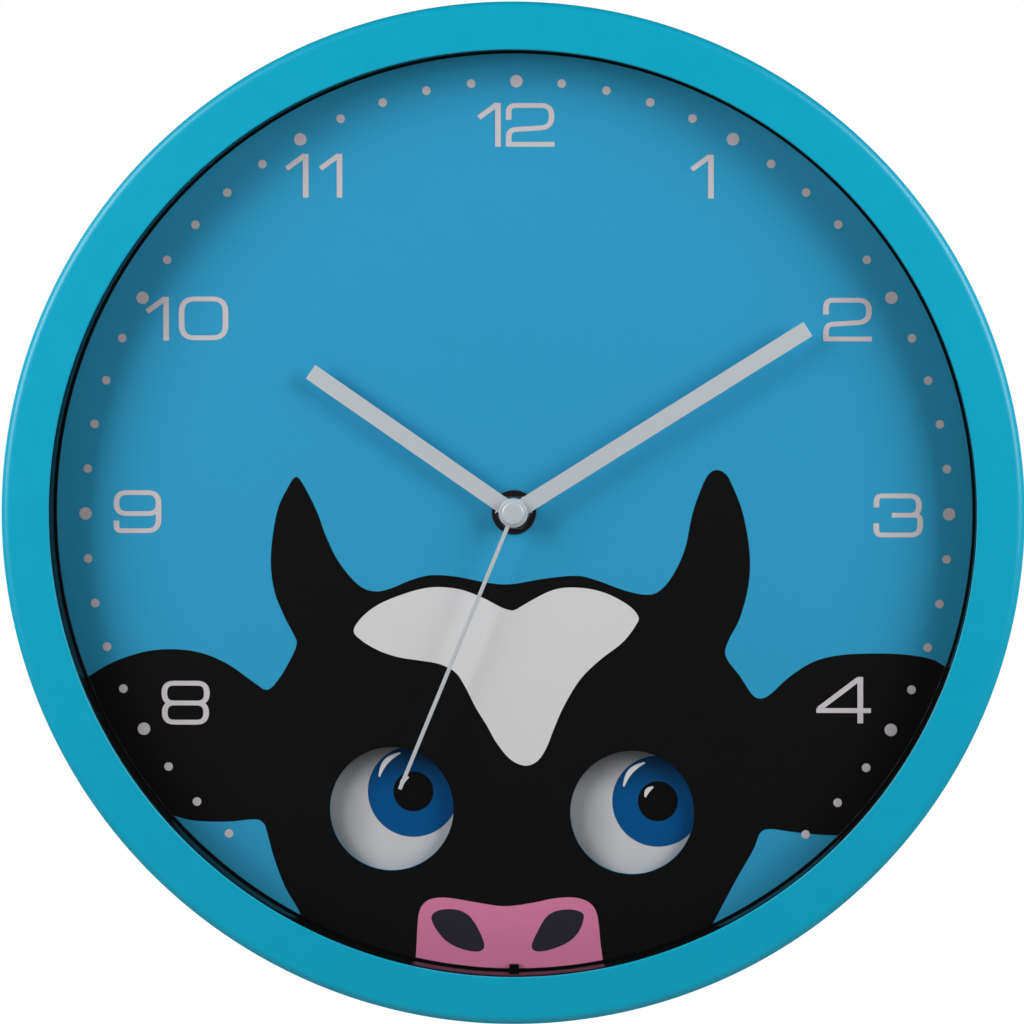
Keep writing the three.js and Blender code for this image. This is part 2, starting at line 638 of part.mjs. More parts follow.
const stepperCoil = () => crosswise([
  [0, COIL.left],
  [COIL.radius, COIL.left],
  [COIL.radius, COIL.left + 1],
  [COIL.radius - 0.6, COIL.left + 1],
  [COIL.radius - 0.6, COIL.right - 1],
  [COIL.radius, COIL.right - 1],
  [COIL.radius, COIL.right],
  [0, COIL.right],
], (STATOR_LAYER.front + STATOR_LAYER.back) / 2, COIL_HEIGHT, 16);

const BOARD = layer(-13, 0.8);
const circuitBoard = () => block(-26.8, -12.5, -11.2, 6, BOARD);

function quartzCrystal() {
  const radius = 1;
  const geometry = new THREE.LatheGeometry([
    new THREE.Vector2(0, -7),
    new THREE.Vector2(radius, -7),
    new THREE.Vector2(radius, -1),
    new THREE.Vector2(0, -1),
  ], SMALL);
  geometry.rotateX(Math.PI / 2);
  geometry.translate(-20, BOARD.front - SEAT_GAP - radius, 0);
  return solid(geometry);
}

const BATTERY = { radius: 7.25, left: -24.8, right: 24, y: -17.8, z: -20.9 };

const battery = () => crosswise([
  [0, BATTERY.left],
  [BATTERY.radius - 0.5, BATTERY.left],
  [BATTERY.radius, BATTERY.left + 0.5],
  [BATTERY.radius, BATTERY.right - 0.5],
  [BATTERY.radius - 0.5, BATTERY.right],
  [2.7, BATTERY.right],
  [2.7, BATTERY.right + 1.3],
  [0, BATTERY.right + 1.3],
], BATTERY.y, BATTERY.z);

const CONTACT_THICKNESS = 0.5;
const contactPlate = (x) => (
  block(x, x + CONTACT_THICKNESS, BATTERY.z - 6, BATTERY.z + 6, layer(-24.5, 13))
);

// Setting knob: its gear turns the motion wheel, and its grip stands out of the housing's back.
function settingKnob() {
  const { x, y: z } = KNOB_CENTRE;
  const phase = meshedPhase(MOTION_WHEEL_TEETH, motionWheelPhase, MOTION_DIRECTION, KNOB_TEETH);
  const grip = layer(HOUSING.back + RUNNING_GAP, 2.3);
  return wheel(KNOB_CENTRE, KNOB_TEETH, MOTION_MODULE, phase, MOTION_WHEEL_LAYER)
    .add(disc(x, z, KNOB_SHAFT_RADIUS, layer(-24.2, HOUSING.back + 24.6), SMALL))
    .add(plate(gearOutline(x, z, 16, 0.75, 0), [], grip));
}

// ---------------------------------------------------------------- moving eyes

const LEAN = THREE.MathUtils.degToRad(LINK_LEAN);
const SWING = new THREE.Vector2(LINK_LENGTH * Math.sin(LEAN), -LINK_LENGTH * Math.cos(LEAN));
const PIVOTS = { left: -PIVOT_SPREAD, middle: 0, right: PIVOT_SPREAD };
const ARM_PIN_BACK = ARM_LAYER.back + 0.5;
const LINK_PIN_BACK = LINK_LAYER.back + 0.5;
const CLIP = { radius: 2.7, thickness: 0.5 };

// The layer of a pin or stud that stands on a plate's back and reaches to a given depth.
const standing = (base, back) => layer(base.back - 0.3, back - base.back + 0.3);

// A flat bar with round ends between two pivot points.
function linkBar(from, to, width, span) {
  const along = to.clone().sub(from);
  const across = new THREE.Vector2(-along.y, along.x).setLength(width / 2);
  const sides = [
    from.clone().add(across),
    from.clone().sub(across),
    to.clone().sub(across),
    to.clone().add(across),
  ];
  return joined(
    plate(sides, [], span),
    disc(from.x, from.y, width / 2 + 0.6, span, 16),
    disc(to.x, to.y, width / 2 + 0.6, span, 16),
  );
}

// Steel bracket clamped between dial and movement. It carries the pivots of both links and of the arm.
function eyeBridge() {
  const flat = joined(
    disc(0, 0, 10, BRIDGE, 24),
    block(-8, 8, PIVOT_HEIGHT - 5, 0, BRIDGE),
    block(-PIVOT_SPREAD - 5, PIVOT_SPREAD + 5, PIVOT_HEIGHT - 5, PIVOT_HEIGHT + 5, BRIDGE),
  );
  const pin = (x, back) => disc(x, PIVOT_HEIGHT, PIVOT_RADIUS, standing(BRIDGE, back), SMALL);
  return flat
    .subtract(disc(0, 0, DIAL_HOLE_RADIUS + 0.1, layer(BRIDGE.front - 1, 3), 24))
    .add(pin(PIVOTS.left, LINK_PIN_BACK))
    .add(pin(PIVOTS.right, LINK_PIN_BACK))
    .add(pin(PIVOTS.middle, ARM_PIN_BACK));
}

const pivotPoint = (x) => new THREE.Vector2(x, PIVOT_HEIGHT);
const lowerPoint = (x) => pivotPoint(x).add(SWING);

function eyeLink(x) {
  const through = layer(LINK_LAYER.front - 1, 3);
  const upper = pivotPoint(x);
  const lower = lowerPoint(x);
  return linkBar(upper, lower, 4.5, LINK_LAYER)
    .subtract(disc(upper.x, upper.y, PIVOT_HOLE_RADIUS, through, SMALL))
    .subtract(disc(lower.x, lower.y, PIVOT_HOLE_RADIUS, through, SMALL));
}

const MAGNET_ABOVE_PIVOT = 8;
const magnetPoint = pivotPoint(0).sub(SWING.clone().setLength(MAGNET_ABOVE_PIVOT));

// The driven arm: its magnet is pulled by the drive coil, and its lower hole takes the plate's middle stud.
function driveArm() {
  const through = layer(ARM_LAYER.front - 1, 3);
  const pivot = pivotPoint(0);
  const lower = lowerPoint(0);
  return joined(
    linkBar(magnetPoint, lower, 5, ARM_LAYER),
    disc(pivot.x, pivot.y, 4, ARM_LAYER, 16),
    disc(magnetPoint.x, magnetPoint.y, 3.6, ARM_LAYER, 16),
  )
    .subtract(disc(pivot.x, pivot.y, PIVOT_HOLE_RADIUS, through, SMALL))
    .subtract(disc(lower.x, lower.y, PIVOT_HOLE_RADIUS, through, SMALL));
}

const driveMagnet = () => (
  disc(magnetPoint.x, magnetPoint.y, 3, layer(ARM_LAYER.front - SEAT_GAP - 1.2, 1.2), 16)
);

const driveCoil = () => (
  ring(0, PIVOT_HEIGHT + MAGNET_ABOVE_PIVOT, 4.5, 1.5, layer(BRIDGE.back + SEAT_GAP, 2.2), 16)
);

// The white plate behind both eye holes: two discs joined by a bar, with three studs on its back.
function eyePlate() {
  const centres = EYE_HOLES.map((eye) => new THREE.Vector2(eye.x, eye.z + LINK_LENGTH).add(SWING));
  const stud = (x, back) => {
    const point = lowerPoint(x);
    return disc(point.x, point.y, PIVOT_RADIUS, standing(EYE_PLATE, back), SMALL);
  };
  return joined(
    ...centres.map((centre) => disc(centre.x, centre.y, EYE_PLATE_RADIUS, EYE_PLATE, 40)),
    block(centres[0].x, centres[1].x, centres[0].y - 12, centres[0].y + 12, EYE_PLATE),
    stud(PIVOTS.left, LINK_PIN_BACK),
    stud(PIVOTS.right, LINK_PIN_BACK),
    stud(PIVOTS.middle, ARM_PIN_BACK),
  );
}

// A push-on washer that keeps a link or the arm on its pin.
const pivotClip = (x, pinBack) => (
  ring(x, PIVOT_HEIGHT, CLIP.radius, PIVOT_RADIUS + PRESS_GAP, layer(pinBack - 0.3, CLIP.thickness), SMALL)
);

// ---------------------------------------------------------------- the clock

const clock = new THREE.Group();

function addPiece(name, piece, look) {
  const { vertProperties, triVerts } = piece.getMesh();
  const geometry = new THREE.BufferGeometry();
  geometry.setAttribute('position', new THREE.BufferAttribute(new Float32Array(vertProperties), 3));
  geometry.setIndex(new THREE.BufferAttribute(new Uint32Array(triVerts), 1));
  geometry.computeVertexNormals();
  const mesh = new THREE.Mesh(geometry, look);
  mesh.name = name;
  clock.add(mesh);
}

addPiece('case', caseShell(), blueLacquer());
addPiece('lens_gasket', lensGasket(), blackRubber());
addPiece('lens', lens(), clearGlass());
addPiece('spacer_ring', spacerRing(), glossBlack());
addPiece('dial', dial(), dialPrint());

addPiece('rear_cover', rearCover(), blackPlastic());
CASE_SCREW_ANGLES.forEach((angle, i) => addPiece(`case_screw_${i + 1}`, caseScrew(angle), bareSteel()));
addPiece('hanger_plate', hangerPlate(), bareSteel());
RIVETS.forEach((place, i) => addPiece(`hanger_rivet_${i + 1}`, hangerRivet(place), bareSteel()));
BUMPERS.forEach((place, i) => addPiece(`wall_bumper_${i + 1}`, wallBumper(place), blackRubber()));

addPiece('movement_front', movementFront(), blackPlastic());
addPiece('movement_back', movementBack(), blackPlastic());
addPiece('threaded_bushing', threadedBushing(), brass());
addPiece('mounting_gasket', mountingGasket(), blackRubber());
addPiece('dial_washer', dialWasher(), darkSteel());
addPiece('bushing_nut', bushingNut(), chrome());

addPiece('hour_hand', hourHand(), handAluminium());
addPiece('minute_hand', minuteHand(), handAluminium());
addPiece('second_hand', secondHand(), handAluminium());

addPiece('hour_wheel', hourWheel(), creamPlastic());
addPiece('cannon_pinion', cannonPinion(), brass());
addPiece('motion_wheel', motionWheel(), creamPlastic());
addPiece('minute_wheel', minuteWheel(), creamPlastic());
addPiece('third_wheel', thirdWheel(), creamPlastic());
addPiece('second_wheel', secondWheel(), creamPlastic());
addPiece('intermediate_wheel', intermediateWheel(), creamPlastic());
addPiece('rotor', rotor(), darkSteel());
addPiece('setting_knob', settingKnob(), whitePlastic());

addPiece('stator', stator(), bareSteel());
addPiece('stepper_coil', stepperCoil(), copper());
addPiece('circuit_board', circuitBoard(), circuitGreen());
addPiece('quartz_crystal', quartzCrystal(), bareSteel());
addPiece('battery', battery(), batteryBlue());
addPiece('battery_contact_minus', contactPlate(-25.9), bareSteel());
addPiece('battery_contact_plus', contactPlate(25.7), bareSteel());

addPiece('eye_bridge', eyeBridge(), bareSteel());
addPiece('eye_plate', eyePlate(), whitePlastic());
addPiece('eye_link_left', eyeLink(PIVOTS.left), bareSteel());
addPiece('eye_link_right', eyeLink(PIVOTS.right), bareSteel());
addPiece('drive_arm', driveArm(), whitePlastic());
addPiece('drive_magnet', driveMagnet(), darkSteel());
addPiece('drive_coil', driveCoil(), copper());
addPiece('pivot_clip_left', pivotClip(PIVOTS.left, LINK_PIN_BACK), bareSteel());
addPiece('pivot_clip_right', pivotClip(PIVOTS.right, LINK_PIN_BACK), bareSteel());
addPiece('pivot_clip_middle', pivotClip(PIVOTS.middle, ARM_PIN_BACK), bareSteel());

clock.position.z = -ARBOR_BELOW_HOOK;

const root = new THREE.Group();
root.add(clock);

export default root;
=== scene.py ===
# The looks of a round wall clock with a printed cow dial and moving eyes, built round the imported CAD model.
# Metres. The frame's origin is the hook; +Z up, +X to the reader's right, the dial faces -Y.

import json
import math

import bmesh
import bpy
from mathutils import Matrix, Vector


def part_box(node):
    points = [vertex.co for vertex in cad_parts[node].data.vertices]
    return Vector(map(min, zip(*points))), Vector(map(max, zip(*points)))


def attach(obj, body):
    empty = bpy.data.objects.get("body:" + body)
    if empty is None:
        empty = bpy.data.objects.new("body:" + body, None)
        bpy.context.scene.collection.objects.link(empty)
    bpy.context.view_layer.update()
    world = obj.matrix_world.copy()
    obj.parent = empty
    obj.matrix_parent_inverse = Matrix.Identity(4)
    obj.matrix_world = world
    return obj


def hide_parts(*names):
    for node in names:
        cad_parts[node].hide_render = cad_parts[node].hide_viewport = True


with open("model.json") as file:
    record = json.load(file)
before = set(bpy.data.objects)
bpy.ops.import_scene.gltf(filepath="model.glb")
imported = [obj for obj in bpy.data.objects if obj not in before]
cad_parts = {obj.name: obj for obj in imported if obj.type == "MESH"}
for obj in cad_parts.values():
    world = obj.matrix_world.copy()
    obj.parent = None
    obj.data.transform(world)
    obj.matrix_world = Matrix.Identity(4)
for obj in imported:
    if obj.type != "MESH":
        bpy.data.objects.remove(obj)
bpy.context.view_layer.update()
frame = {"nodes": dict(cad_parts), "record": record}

MM = 0.001


# ------------------------------------------------------------------ places taken from the frame


def span(node):
    """Front and back of a CAD node along Y, in millimetres."""
    low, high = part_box(node)
    return low.y / MM, high.y / MM


def middle(node):
    """The middle of a CAD node, in the dial's plane: x and z in millimetres about the arbor."""
    low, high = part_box(node)
    return (low.x + high.x) / 2 / MM, (low.z + high.z) / 2 / MM - ARBOR_Z


case_low, case_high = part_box("case")
ARBOR_Z = (case_low.z + case_high.z) / 2 / MM
CASE_RADIUS = (case_high.x - case_low.x) / 2 / MM
CASE_FRONT, CASE_BACK = span("case")
DIAL_FRONT, DIAL_BACK = span("dial")
SPACER_FRONT, SPACER_BACK = span("spacer_ring")
STACK_RADIUS = (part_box("lens")[1].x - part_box("lens")[0].x) / 2 / MM

# Sizes that the CAD model shares but its boxes don't tell, in millimetres.
LIP_INNER_RADIUS = 135.9
LIP_THICKNESS = 1.0
CASE_WALL = 1.6
SPACER_INNER_RADIUS = 136.0
SPACER_FOOT_RADIUS = 135.3
DIAL_HOLE_RADIUS = 4.2
EYE_HOLE_RADIUS = 18.3
EYE_HOLES = ((-36.3, -88.0), (34.9, -89.0))
WASHER_RADIUS = 6.55
CASE_SCREW_ANGLES = (110, 230, 350)
CASE_SCREW_Y = -12
HAND_ANGLES = {"hour": 304.83, "minute": 57.95, "second": 202.35}
HAND_WIDTH = 4.9


# ------------------------------------------------------------------ mesh makers
# Every maker works in millimetres about the arbor, with x to the right, z up and y into the wall.

SHARP_ANGLE = 35  # an edge that turns more than this many degrees stays sharp
SQUARE_TO_Y = 0.9999  # how far along Y a face's normal has to point for the face to count as flat
MERGE_DISTANCE = 1e-7  # metres
AXIS_RADIUS = 1e-6  # a lathe's point nearer its axis than this is one single vertex
FINE_STEPS = 288  # round the parts that are as wide as the dial
PLAIN_STEPS = 96  # round the small parts


def place(x, y, z):
    return Vector((x * MM, y * MM, (z + ARBOR_Z) * MM))


def shade(mesh):
    """Smooth shading between edges, with every face that is square to Y kept truly flat."""
    mesh.shade_smooth()
    mesh.set_sharp_from_angle(angle=math.radians(SHARP_ANGLE))
    for face in mesh.polygons:
        if abs(face.normal.y) > SQUARE_TO_Y:
            face.use_smooth = False


def finish_mesh(name, bm, material):
    bmesh.ops.remove_doubles(bm, verts=bm.verts, dist=MERGE_DISTANCE)
    bmesh.ops.recalc_face_normals(bm, faces=bm.faces)
    mesh = bpy.data.meshes.new(name)
    bm.to_mesh(mesh)
    bm.free()
    shade(mesh)
    mesh.materials.append(material)
    obj = bpy.data.objects.new(name, mesh)
    bpy.context.scene.collection.objects.link(obj)
    return obj


def lathe(name, profile, material, centre=(0.0, 0.0), steps=192):
    """A solid of revolution about Y through centre.
    profile is a closed loop of (radius, y), or a line that starts and ends on the axis."""
    bm = bmesh.new()
    middle_x, middle_z = centre
    on_axis = profile[0][0] < AXIS_RADIUS and profile[-1][0] < AXIS_RADIUS
    rings = []
    for radius, y in profile:
        if radius < AXIS_RADIUS:
            rings.append([bm.verts.new(place(middle_x, y, middle_z))] * steps)
            continue
        ring = []
        for i in range(steps):
            angle = 2 * math.pi * i / steps
            x = middle_x + radius * math.sin(angle)
            z = middle_z + radius * math.cos(angle)
            ring.append(bm.verts.new(place(x, y, z)))
        rings.append(ring)
    pairs = list(zip(rings, rings[1:]))
    if not on_axis:
        pairs.append((rings[-1], rings[0]))
    for first, second in pairs:
        for i in range(steps):
            j = (i + 1) % steps
            corners = []
            for vert in (first[i], first[j], second[j], second[i]):
                if vert not in corners:
                    corners.append(vert)
            if len(corners) > 2:
                bm.faces.new(corners)
    return finish_mesh(name, bm, material)


def sheet(name, loops, front, back, material, bevel=0.0):
    """A flat plate between two depths. loops are closed outlines of (x, z); inner ones are holes."""
    curve = bpy.data.curves.new(name, "CURVE")
    curve.dimensions = "2D"
    curve.fill_mode = "BOTH"
    for points in loops:
        spline = curve.splines.new("POLY")
        spline.points.add(len(points) - 1)
        for point, (x, z) in zip(spline.points, points):
            point.co = (x, z, 0.0, 1.0)
        spline.use_cyclic_u = True
    curve.extrude = (back - front) / 2 - bevel
    curve.bevel_depth = bevel
    curve.bevel_resolution = 2
    curve.offset = -bevel
    drawn = bpy.data.objects.new(name + "_curve", curve)
    bpy.context.scene.collection.objects.link(drawn)
    graph = bpy.context.evaluated_depsgraph_get()
    mesh = bpy.data.meshes.new_from_object(drawn.evaluated_get(graph))
    bpy.data.objects.remove(drawn)
    bpy.data.curves.remove(curve)
    bm = bmesh.new()
    bm.from_mesh(mesh)
    bpy.data.meshes.remove(mesh)
    depth = (front + back) / 2
    for vert in bm.verts:
        vert.co = place(vert.co.x, depth - vert.co.z, vert.co.y)
    return finish_mesh(name, bm, material)


def joined(name, pieces):
    """Makes one mesh object of several."""
    bm = bmesh.new()
    material = pieces[0].data.materials[0]
    for piece in pieces:
        bm.from_mesh(piece.data)
        mesh = piece.data
        bpy.data.objects.remove(piece)
        bpy.data.meshes.remove(mesh)
    return finish_mesh(name, bm, material)


def bevelled_copy(name, node, material, width=0.25, segments=2):
    """A copy of a CAD node with its edges eased, for pieces whose CAD shape is already right."""
    bm = bmesh.new()
    bm.from_mesh(frame["nodes"][node].data)
    bmesh.ops.remove_doubles(bm, verts=bm.verts, dist=1e-6)
    bmesh.ops.dissolve_limit(bm, angle_limit=math.radians(1), verts=bm.verts, edges=bm.edges)
    obj = finish_mesh(name, bm, material)
    ease = obj.modifiers.new("ease", "BEVEL")
    ease.width = width * MM
    ease.segments = segments
    ease.limit_method = "ANGLE"
    ease.angle_limit = math.radians(40)
    graph = bpy.context.evaluated_depsgraph_get()
    mesh = bpy.data.meshes.new_from_object(obj.evaluated_get(graph))
    obj.modifiers.clear()
    obj.data = mesh
    shade(mesh)
    return obj


# ------------------------------------------------------------------ outlines


def circle(x, z, radius, steps=PLAIN_STEPS):
    turn = [2 * math.pi * i / steps for i in range(steps)]
    return [(x + radius * math.cos(a), z + radius * math.sin(a)) for a in turn]


def rectangle(left, right, bottom, top):
    return [(left, bottom), (right, bottom), (right, top), (left, top)]


def arc(radius, start, end, step=3.0):
    """Points on a circle about the arbor, between two angles in degrees, counted from +x towards +z."""
    count = max(2, round(abs(end - start) / step))
    angles = [math.radians(start + (end - start) * i / count) for i in range(count + 1)]
    return [(radius * math.cos(a), radius * math.sin(a)) for a in angles]


def bend(centre_x, centre_y, radius, start, end, steps=6):
    """Points on a circle about any centre, between two angles in degrees: a rounded corner or a slot's end."""
    points = []
    for i in range(steps + 1):
        angle = math.radians(start + (end - start) * i / steps)
        points.append((centre_x + radius * math.cos(angle), centre_y + radius * math.sin(angle)))
    return points


def curved(points, pieces=6):
    """A smooth open line through points."""
    line = []
    last = len(points) - 1
    for i in range(last):
        before = points[max(i - 1, 0)]
        start, end = points[i], points[i + 1]
        after = points[min(i + 2, last)]
        for k in range(pieces):
            t = k / pieces
            line.append(tuple(
                0.5 * (2 * p1 + (p2 - p0) * t + (2 * p0 - 5 * p1 + 4 * p2 - p3) * t * t
                       + (3 * p1 - p0 - 3 * p2 + p3) * t ** 3)
                for p0, p1, p2, p3 in zip(before, start, end, after)
            ))
    line.append(points[-1])
    return line


def curved_loop(points, pieces=6):
    """A smooth closed line through points."""
    line = curved(points[-2:] + points + points[:2], pieces)
    first = 2 * pieces
    return line[first:first + len(points) * pieces]


def rounded(points, radius, closed=False, steps=6):
    """A line through corner points with each corner rounded. Open lines keep their ends."""
    count = len(points)
    line = []
    for i, corner in enumerate(points):
        if not closed and i in (0, count - 1):
            line.append(corner)
            continue
        here = Vector(corner)
        to_last = Vector(points[i - 1]) - here
        to_next = Vector(points[(i + 1) % count]) - here
        reach = min(radius, 0.49 * to_last.length, 0.49 * to_next.length)
        first = here + to_last.normalized() * reach
        final = here + to_next.normalized() * reach
        for k in range(steps + 1):
            t = k / steps
            point = first * (1 - t) ** 2 + here * (2 * t * (1 - t)) + final * t ** 2
            line.append((point.x, point.y))
    return line


# ------------------------------------------------------------------ materials


def new_material(name):
    material = bpy.data.materials.new(name)
    material.use_nodes = True
    tree = material.node_tree
    return material, tree.nodes, tree.links


# Painted shadow on each eye's print: the soft shadow that the edge of the dial's eye hole throws on the eye,
# painted into its colour at the top and left. Where it starts and ends, in millimetres from the middle of the
# eye hole, and the share of the print's colour that is left where it starts.
PAINTED_SHADOW_TOP = (16.5, 3.0, 0.35)
PAINTED_SHADOW_LEFT = (-15.0, -2.0, 0.66)


def painted_eye_shadow(nodes, links, where, colour_out, middle_of_eye):
    """Multiplies a print's colour by a painted shadow, darkest at the top and left of an eye, in place of the
    shadow that the hole's edge throws there.
    """
    axes = nodes.new("ShaderNodeSeparateXYZ")
    links.new(where.outputs["Object"], axes.inputs["Vector"])
    x, z = middle_of_eye
    spans = (("X", x, PAINTED_SHADOW_LEFT), ("Z", z + ARBOR_Z, PAINTED_SHADOW_TOP))
    for axis, centre, (start, end, dark) in spans:
        fade = nodes.new("ShaderNodeMapRange")
        fade.interpolation_type = "SMOOTHSTEP"
        fade.inputs["From Min"].default_value = (centre + start) * MM
        fade.inputs["From Max"].default_value = (centre + end) * MM
        fade.inputs["To Min"].default_value = dark
        fade.inputs["To Max"].default_value = 1.0
        links.new(axes.outputs[axis], fade.inputs["Value"])
        dimmed = nodes.new("ShaderNodeVectorMath")
        dimmed.operation = "SCALE"
        links.new(colour_out, dimmed.inputs[0])
        links.new(fade.outputs["Result"], dimmed.inputs["Scale"])
        colour_out = dimmed.outputs["Vector"]
    return colour_out


def surface(name, colour, rough, metal=0.0, grain=0.06, size=0.6, bump=0.02, rough_change=0.08, coat=0.0,
            shine=0.5, stretch=None, painted_shadow_at=None):
    """A finish with grain: noise of the given size in millimetres shifts its colour, roughness and relief.
    The eye-hole argument is the middle of an eye hole: an eye's print then gets a painted shadow, darker
    towards its top and left."""
    material, nodes, links = new_material(name)
    shader = nodes["Principled BSDF"]
    shader.inputs["Metallic"].default_value = metal
    shader.inputs["Specular IOR Level"].default_value = shine
    shader.inputs["Coat Weight"].default_value = coat
    shader.inputs["Coat Roughness"].default_value = 0.06
    where = nodes.new("ShaderNodeTexCoord")
    source = where.outputs["Object"]
    if stretch:
        mapping = nodes.new("ShaderNodeMapping")
        mapping.inputs["Scale"].default_value = stretch
        links.new(source, mapping.inputs["Vector"])
        source = mapping.outputs["Vector"]
    noise = nodes.new("ShaderNodeTexNoise")
    noise.inputs["Scale"].default_value = 1.0 / (size * MM)
    noise.inputs["Detail"].default_value = 4.0
    links.new(source, noise.inputs["Vector"])
    ramp = nodes.new("ShaderNodeValToRGB")
    dark, light = ramp.color_ramp.elements
    dark.position = 0.3
    light.position = 0.7
    dark.color = (*[c * (1 - grain) for c in colour], 1)
    light.color = (*[min(1, c * (1 + grain)) for c in colour], 1)
    links.new(noise.outputs["Fac"], ramp.inputs["Fac"])
    colour_out = ramp.outputs["Color"]
    # An eye's print gets the painted shadow of its hole's edge.
    if painted_shadow_at:
        colour_out = painted_eye_shadow(nodes, links, where, colour_out, painted_shadow_at)
    links.new(colour_out, shader.inputs["Base Color"])
    shift = nodes.new("ShaderNodeMapRange")
    shift.inputs["To Min"].default_value = max(0.02, rough - rough_change)
    shift.inputs["To Max"].default_value = min(1.0, rough + rough_change)
    links.new(noise.outputs["Fac"], shift.inputs["Value"])
    links.new(shift.outputs["Result"], shader.inputs["Roughness"])
    if bump:
        relief = nodes.new("ShaderNodeBump")
        relief.inputs["Strength"].default_value = 0.5
        relief.inputs["Distance"].default_value = bump * MM
        links.new(noise.outputs["Fac"], relief.inputs["Height"])
        links.new(relief.outputs["Normal"], shader.inputs["Normal"])
    return material


def rgb(red, green, blue):
    """Linear colour from display values of 0 to 255."""
    def linear(value):
        share = value / 255
        return share / 12.92 if share <= 0.04045 else ((share + 0.055) / 1.055) ** 2.4
    return tuple(linear(v) for v in (red, green, blue))


def clear_glass():
    """Thin clear glass: light passes straight through, and its faces mirror more towards a glancing view."""
    material, nodes, links = new_material("clear_glass")
    nodes.clear()
    out = nodes.new("ShaderNodeOutputMaterial")
    through = nodes.new("ShaderNodeBsdfTransparent")
    through.inputs["Color"].default_value = (0.99, 0.99, 0.99, 1)
    gloss = nodes.new("ShaderNodeBsdfGlossy")
    gloss.inputs["Roughness"].default_value = 0.015
    facing = nodes.new("ShaderNodeLayerWeight")
    facing.inputs["Blend"].default_value = 0.5
    steep = nodes.new("ShaderNodeMath")
    steep.operation = "POWER"
    steep.inputs[1].default_value = 5.0
    share = nodes.new("ShaderNodeMapRange")
    share.inputs["To Min"].default_value = 0.03
    share.inputs["To Max"].default_value = 1.0
    mix = nodes.new("ShaderNodeMixShader")
    links.new(facing.outputs["Facing"], steep.inputs[0])
    links.new(steep.outputs["Value"], share.inputs["Value"])
    links.new(share.outputs["Result"], mix.inputs["Fac"])
    links.new(through.outputs["BSDF"], mix.inputs[1])
    links.new(gloss.outputs["BSDF"], mix.inputs[2])
    links.new(mix.outputs["Shader"], out.inputs["Surface"])
    return material


LACQUER = surface(
    "blue_lacquer", rgb(0, 157, 186), 0.36, grain=0.015, size=7, bump=0, rough_change=0.03, shine=0.4
)
GLOSS_BLACK = surface(
    "gloss_black", rgb(7, 7, 8), 0.2, grain=0.2, size=2.0, bump=0.002, rough_change=0.03, shine=0.2
)
DIAL_BLUE = surface("dial_blue", rgb(47, 160, 203), 0.62, grain=0.04, size=0.45, bump=0.006, shine=0.15)
PRINT_BLACK = surface("print_black", rgb(10, 10, 11), 0.6, grain=0.3, size=0.5, bump=0.006, shine=0.1)
PRINT_WHITE = surface("print_white", rgb(222, 221, 222), 0.6, grain=0.02, size=0.5, bump=0.005, shine=0.15)
PRINT_GREY = surface("print_grey", rgb(208, 202, 206), 0.6, grain=0.03, size=0.5, bump=0.005, shine=0.15)
PRINT_PINK = surface("print_pink", rgb(221, 130, 167), 0.6, grain=0.04, size=0.45, bump=0.006, shine=0.15)
PRINT_SLATE = surface("print_slate", rgb(42, 40, 52), 0.6, grain=0.1, size=0.45, bump=0.006, shine=0.15)
EYE_WHITE = []
IRIS_BLUE = []
# Each eye has its own white and iris finish, because the painted shadow sits round that eye's hole.
for side, hole in zip(("left", "right"), EYE_HOLES):
    EYE_WHITE.append(surface(
        f"eye_white_{side}", rgb(206, 206, 208), 0.5, grain=0.02, size=0.8, bump=0.004, shine=0.2,
        painted_shadow_at=hole,
    ))
    IRIS_BLUE.append(surface(
        f"iris_blue_{side}", rgb(0, 82, 140), 0.5, grain=0.03, size=0.5, bump=0.004, shine=0.1,
        painted_shadow_at=hole,
    ))
PUPIL_BLACK = surface("pupil_black", rgb(10, 10, 11), 0.5, grain=0.2, size=0.5, bump=0.004, shine=0.1)
HAND_METAL = surface("hand_metal", rgb(213, 218, 221), 0.42, metal=0.2, grain=0.02, size=0.5, bump=0.003)
CHROME = surface(
    "chrome", rgb(214, 216, 220), 0.12, metal=1.0, grain=0.03, size=0.8, bump=0.002, rough_change=0.04
)
DARK_STEEL = surface("dark_steel", rgb(44, 30, 27), 0.45, metal=0.5, grain=0.12, size=0.5, bump=0.006)
STEEL = surface(
    "zinc_steel", rgb(176, 179, 184), 0.36, metal=0.6, grain=0.06, size=0.9, bump=0.006, stretch=(0.15, 1, 1)
)
BRASS = surface("brass", rgb(186, 152, 78), 0.3, metal=1.0, grain=0.05, size=0.7, bump=0.004)
BLACK_PLASTIC = surface("black_plastic", rgb(40, 40, 43), 0.5, grain=0.12, size=0.7, bump=0.02)
RUBBER = surface("rubber", rgb(52, 52, 53), 0.85, grain=0.12, size=0.5, bump=0.02)
CREAM_PLASTIC = surface("cream_plastic", rgb(228, 224, 208), 0.5, grain=0.03, size=0.8, bump=0.005)
WHITE_PLASTIC = surface("white_plastic", rgb(236, 236, 236), 0.45, grain=0.02, size=0.8, bump=0.006)
COPPER = surface(
    "copper_winding", rgb(180, 96, 47), 0.35, metal=1.0, grain=0.12, size=0.3, bump=0.05,
    stretch=(12, 0.3, 0.3),
)
BOARD = surface("circuit_board", rgb(28, 91, 51), 0.4, grain=0.1, size=0.6, bump=0.008)
SLEEVE = surface("battery_sleeve", rgb(43, 62, 99), 0.3, grain=0.04, size=1.0, bump=0.004, coat=0.3)
GLASS = clear_glass()

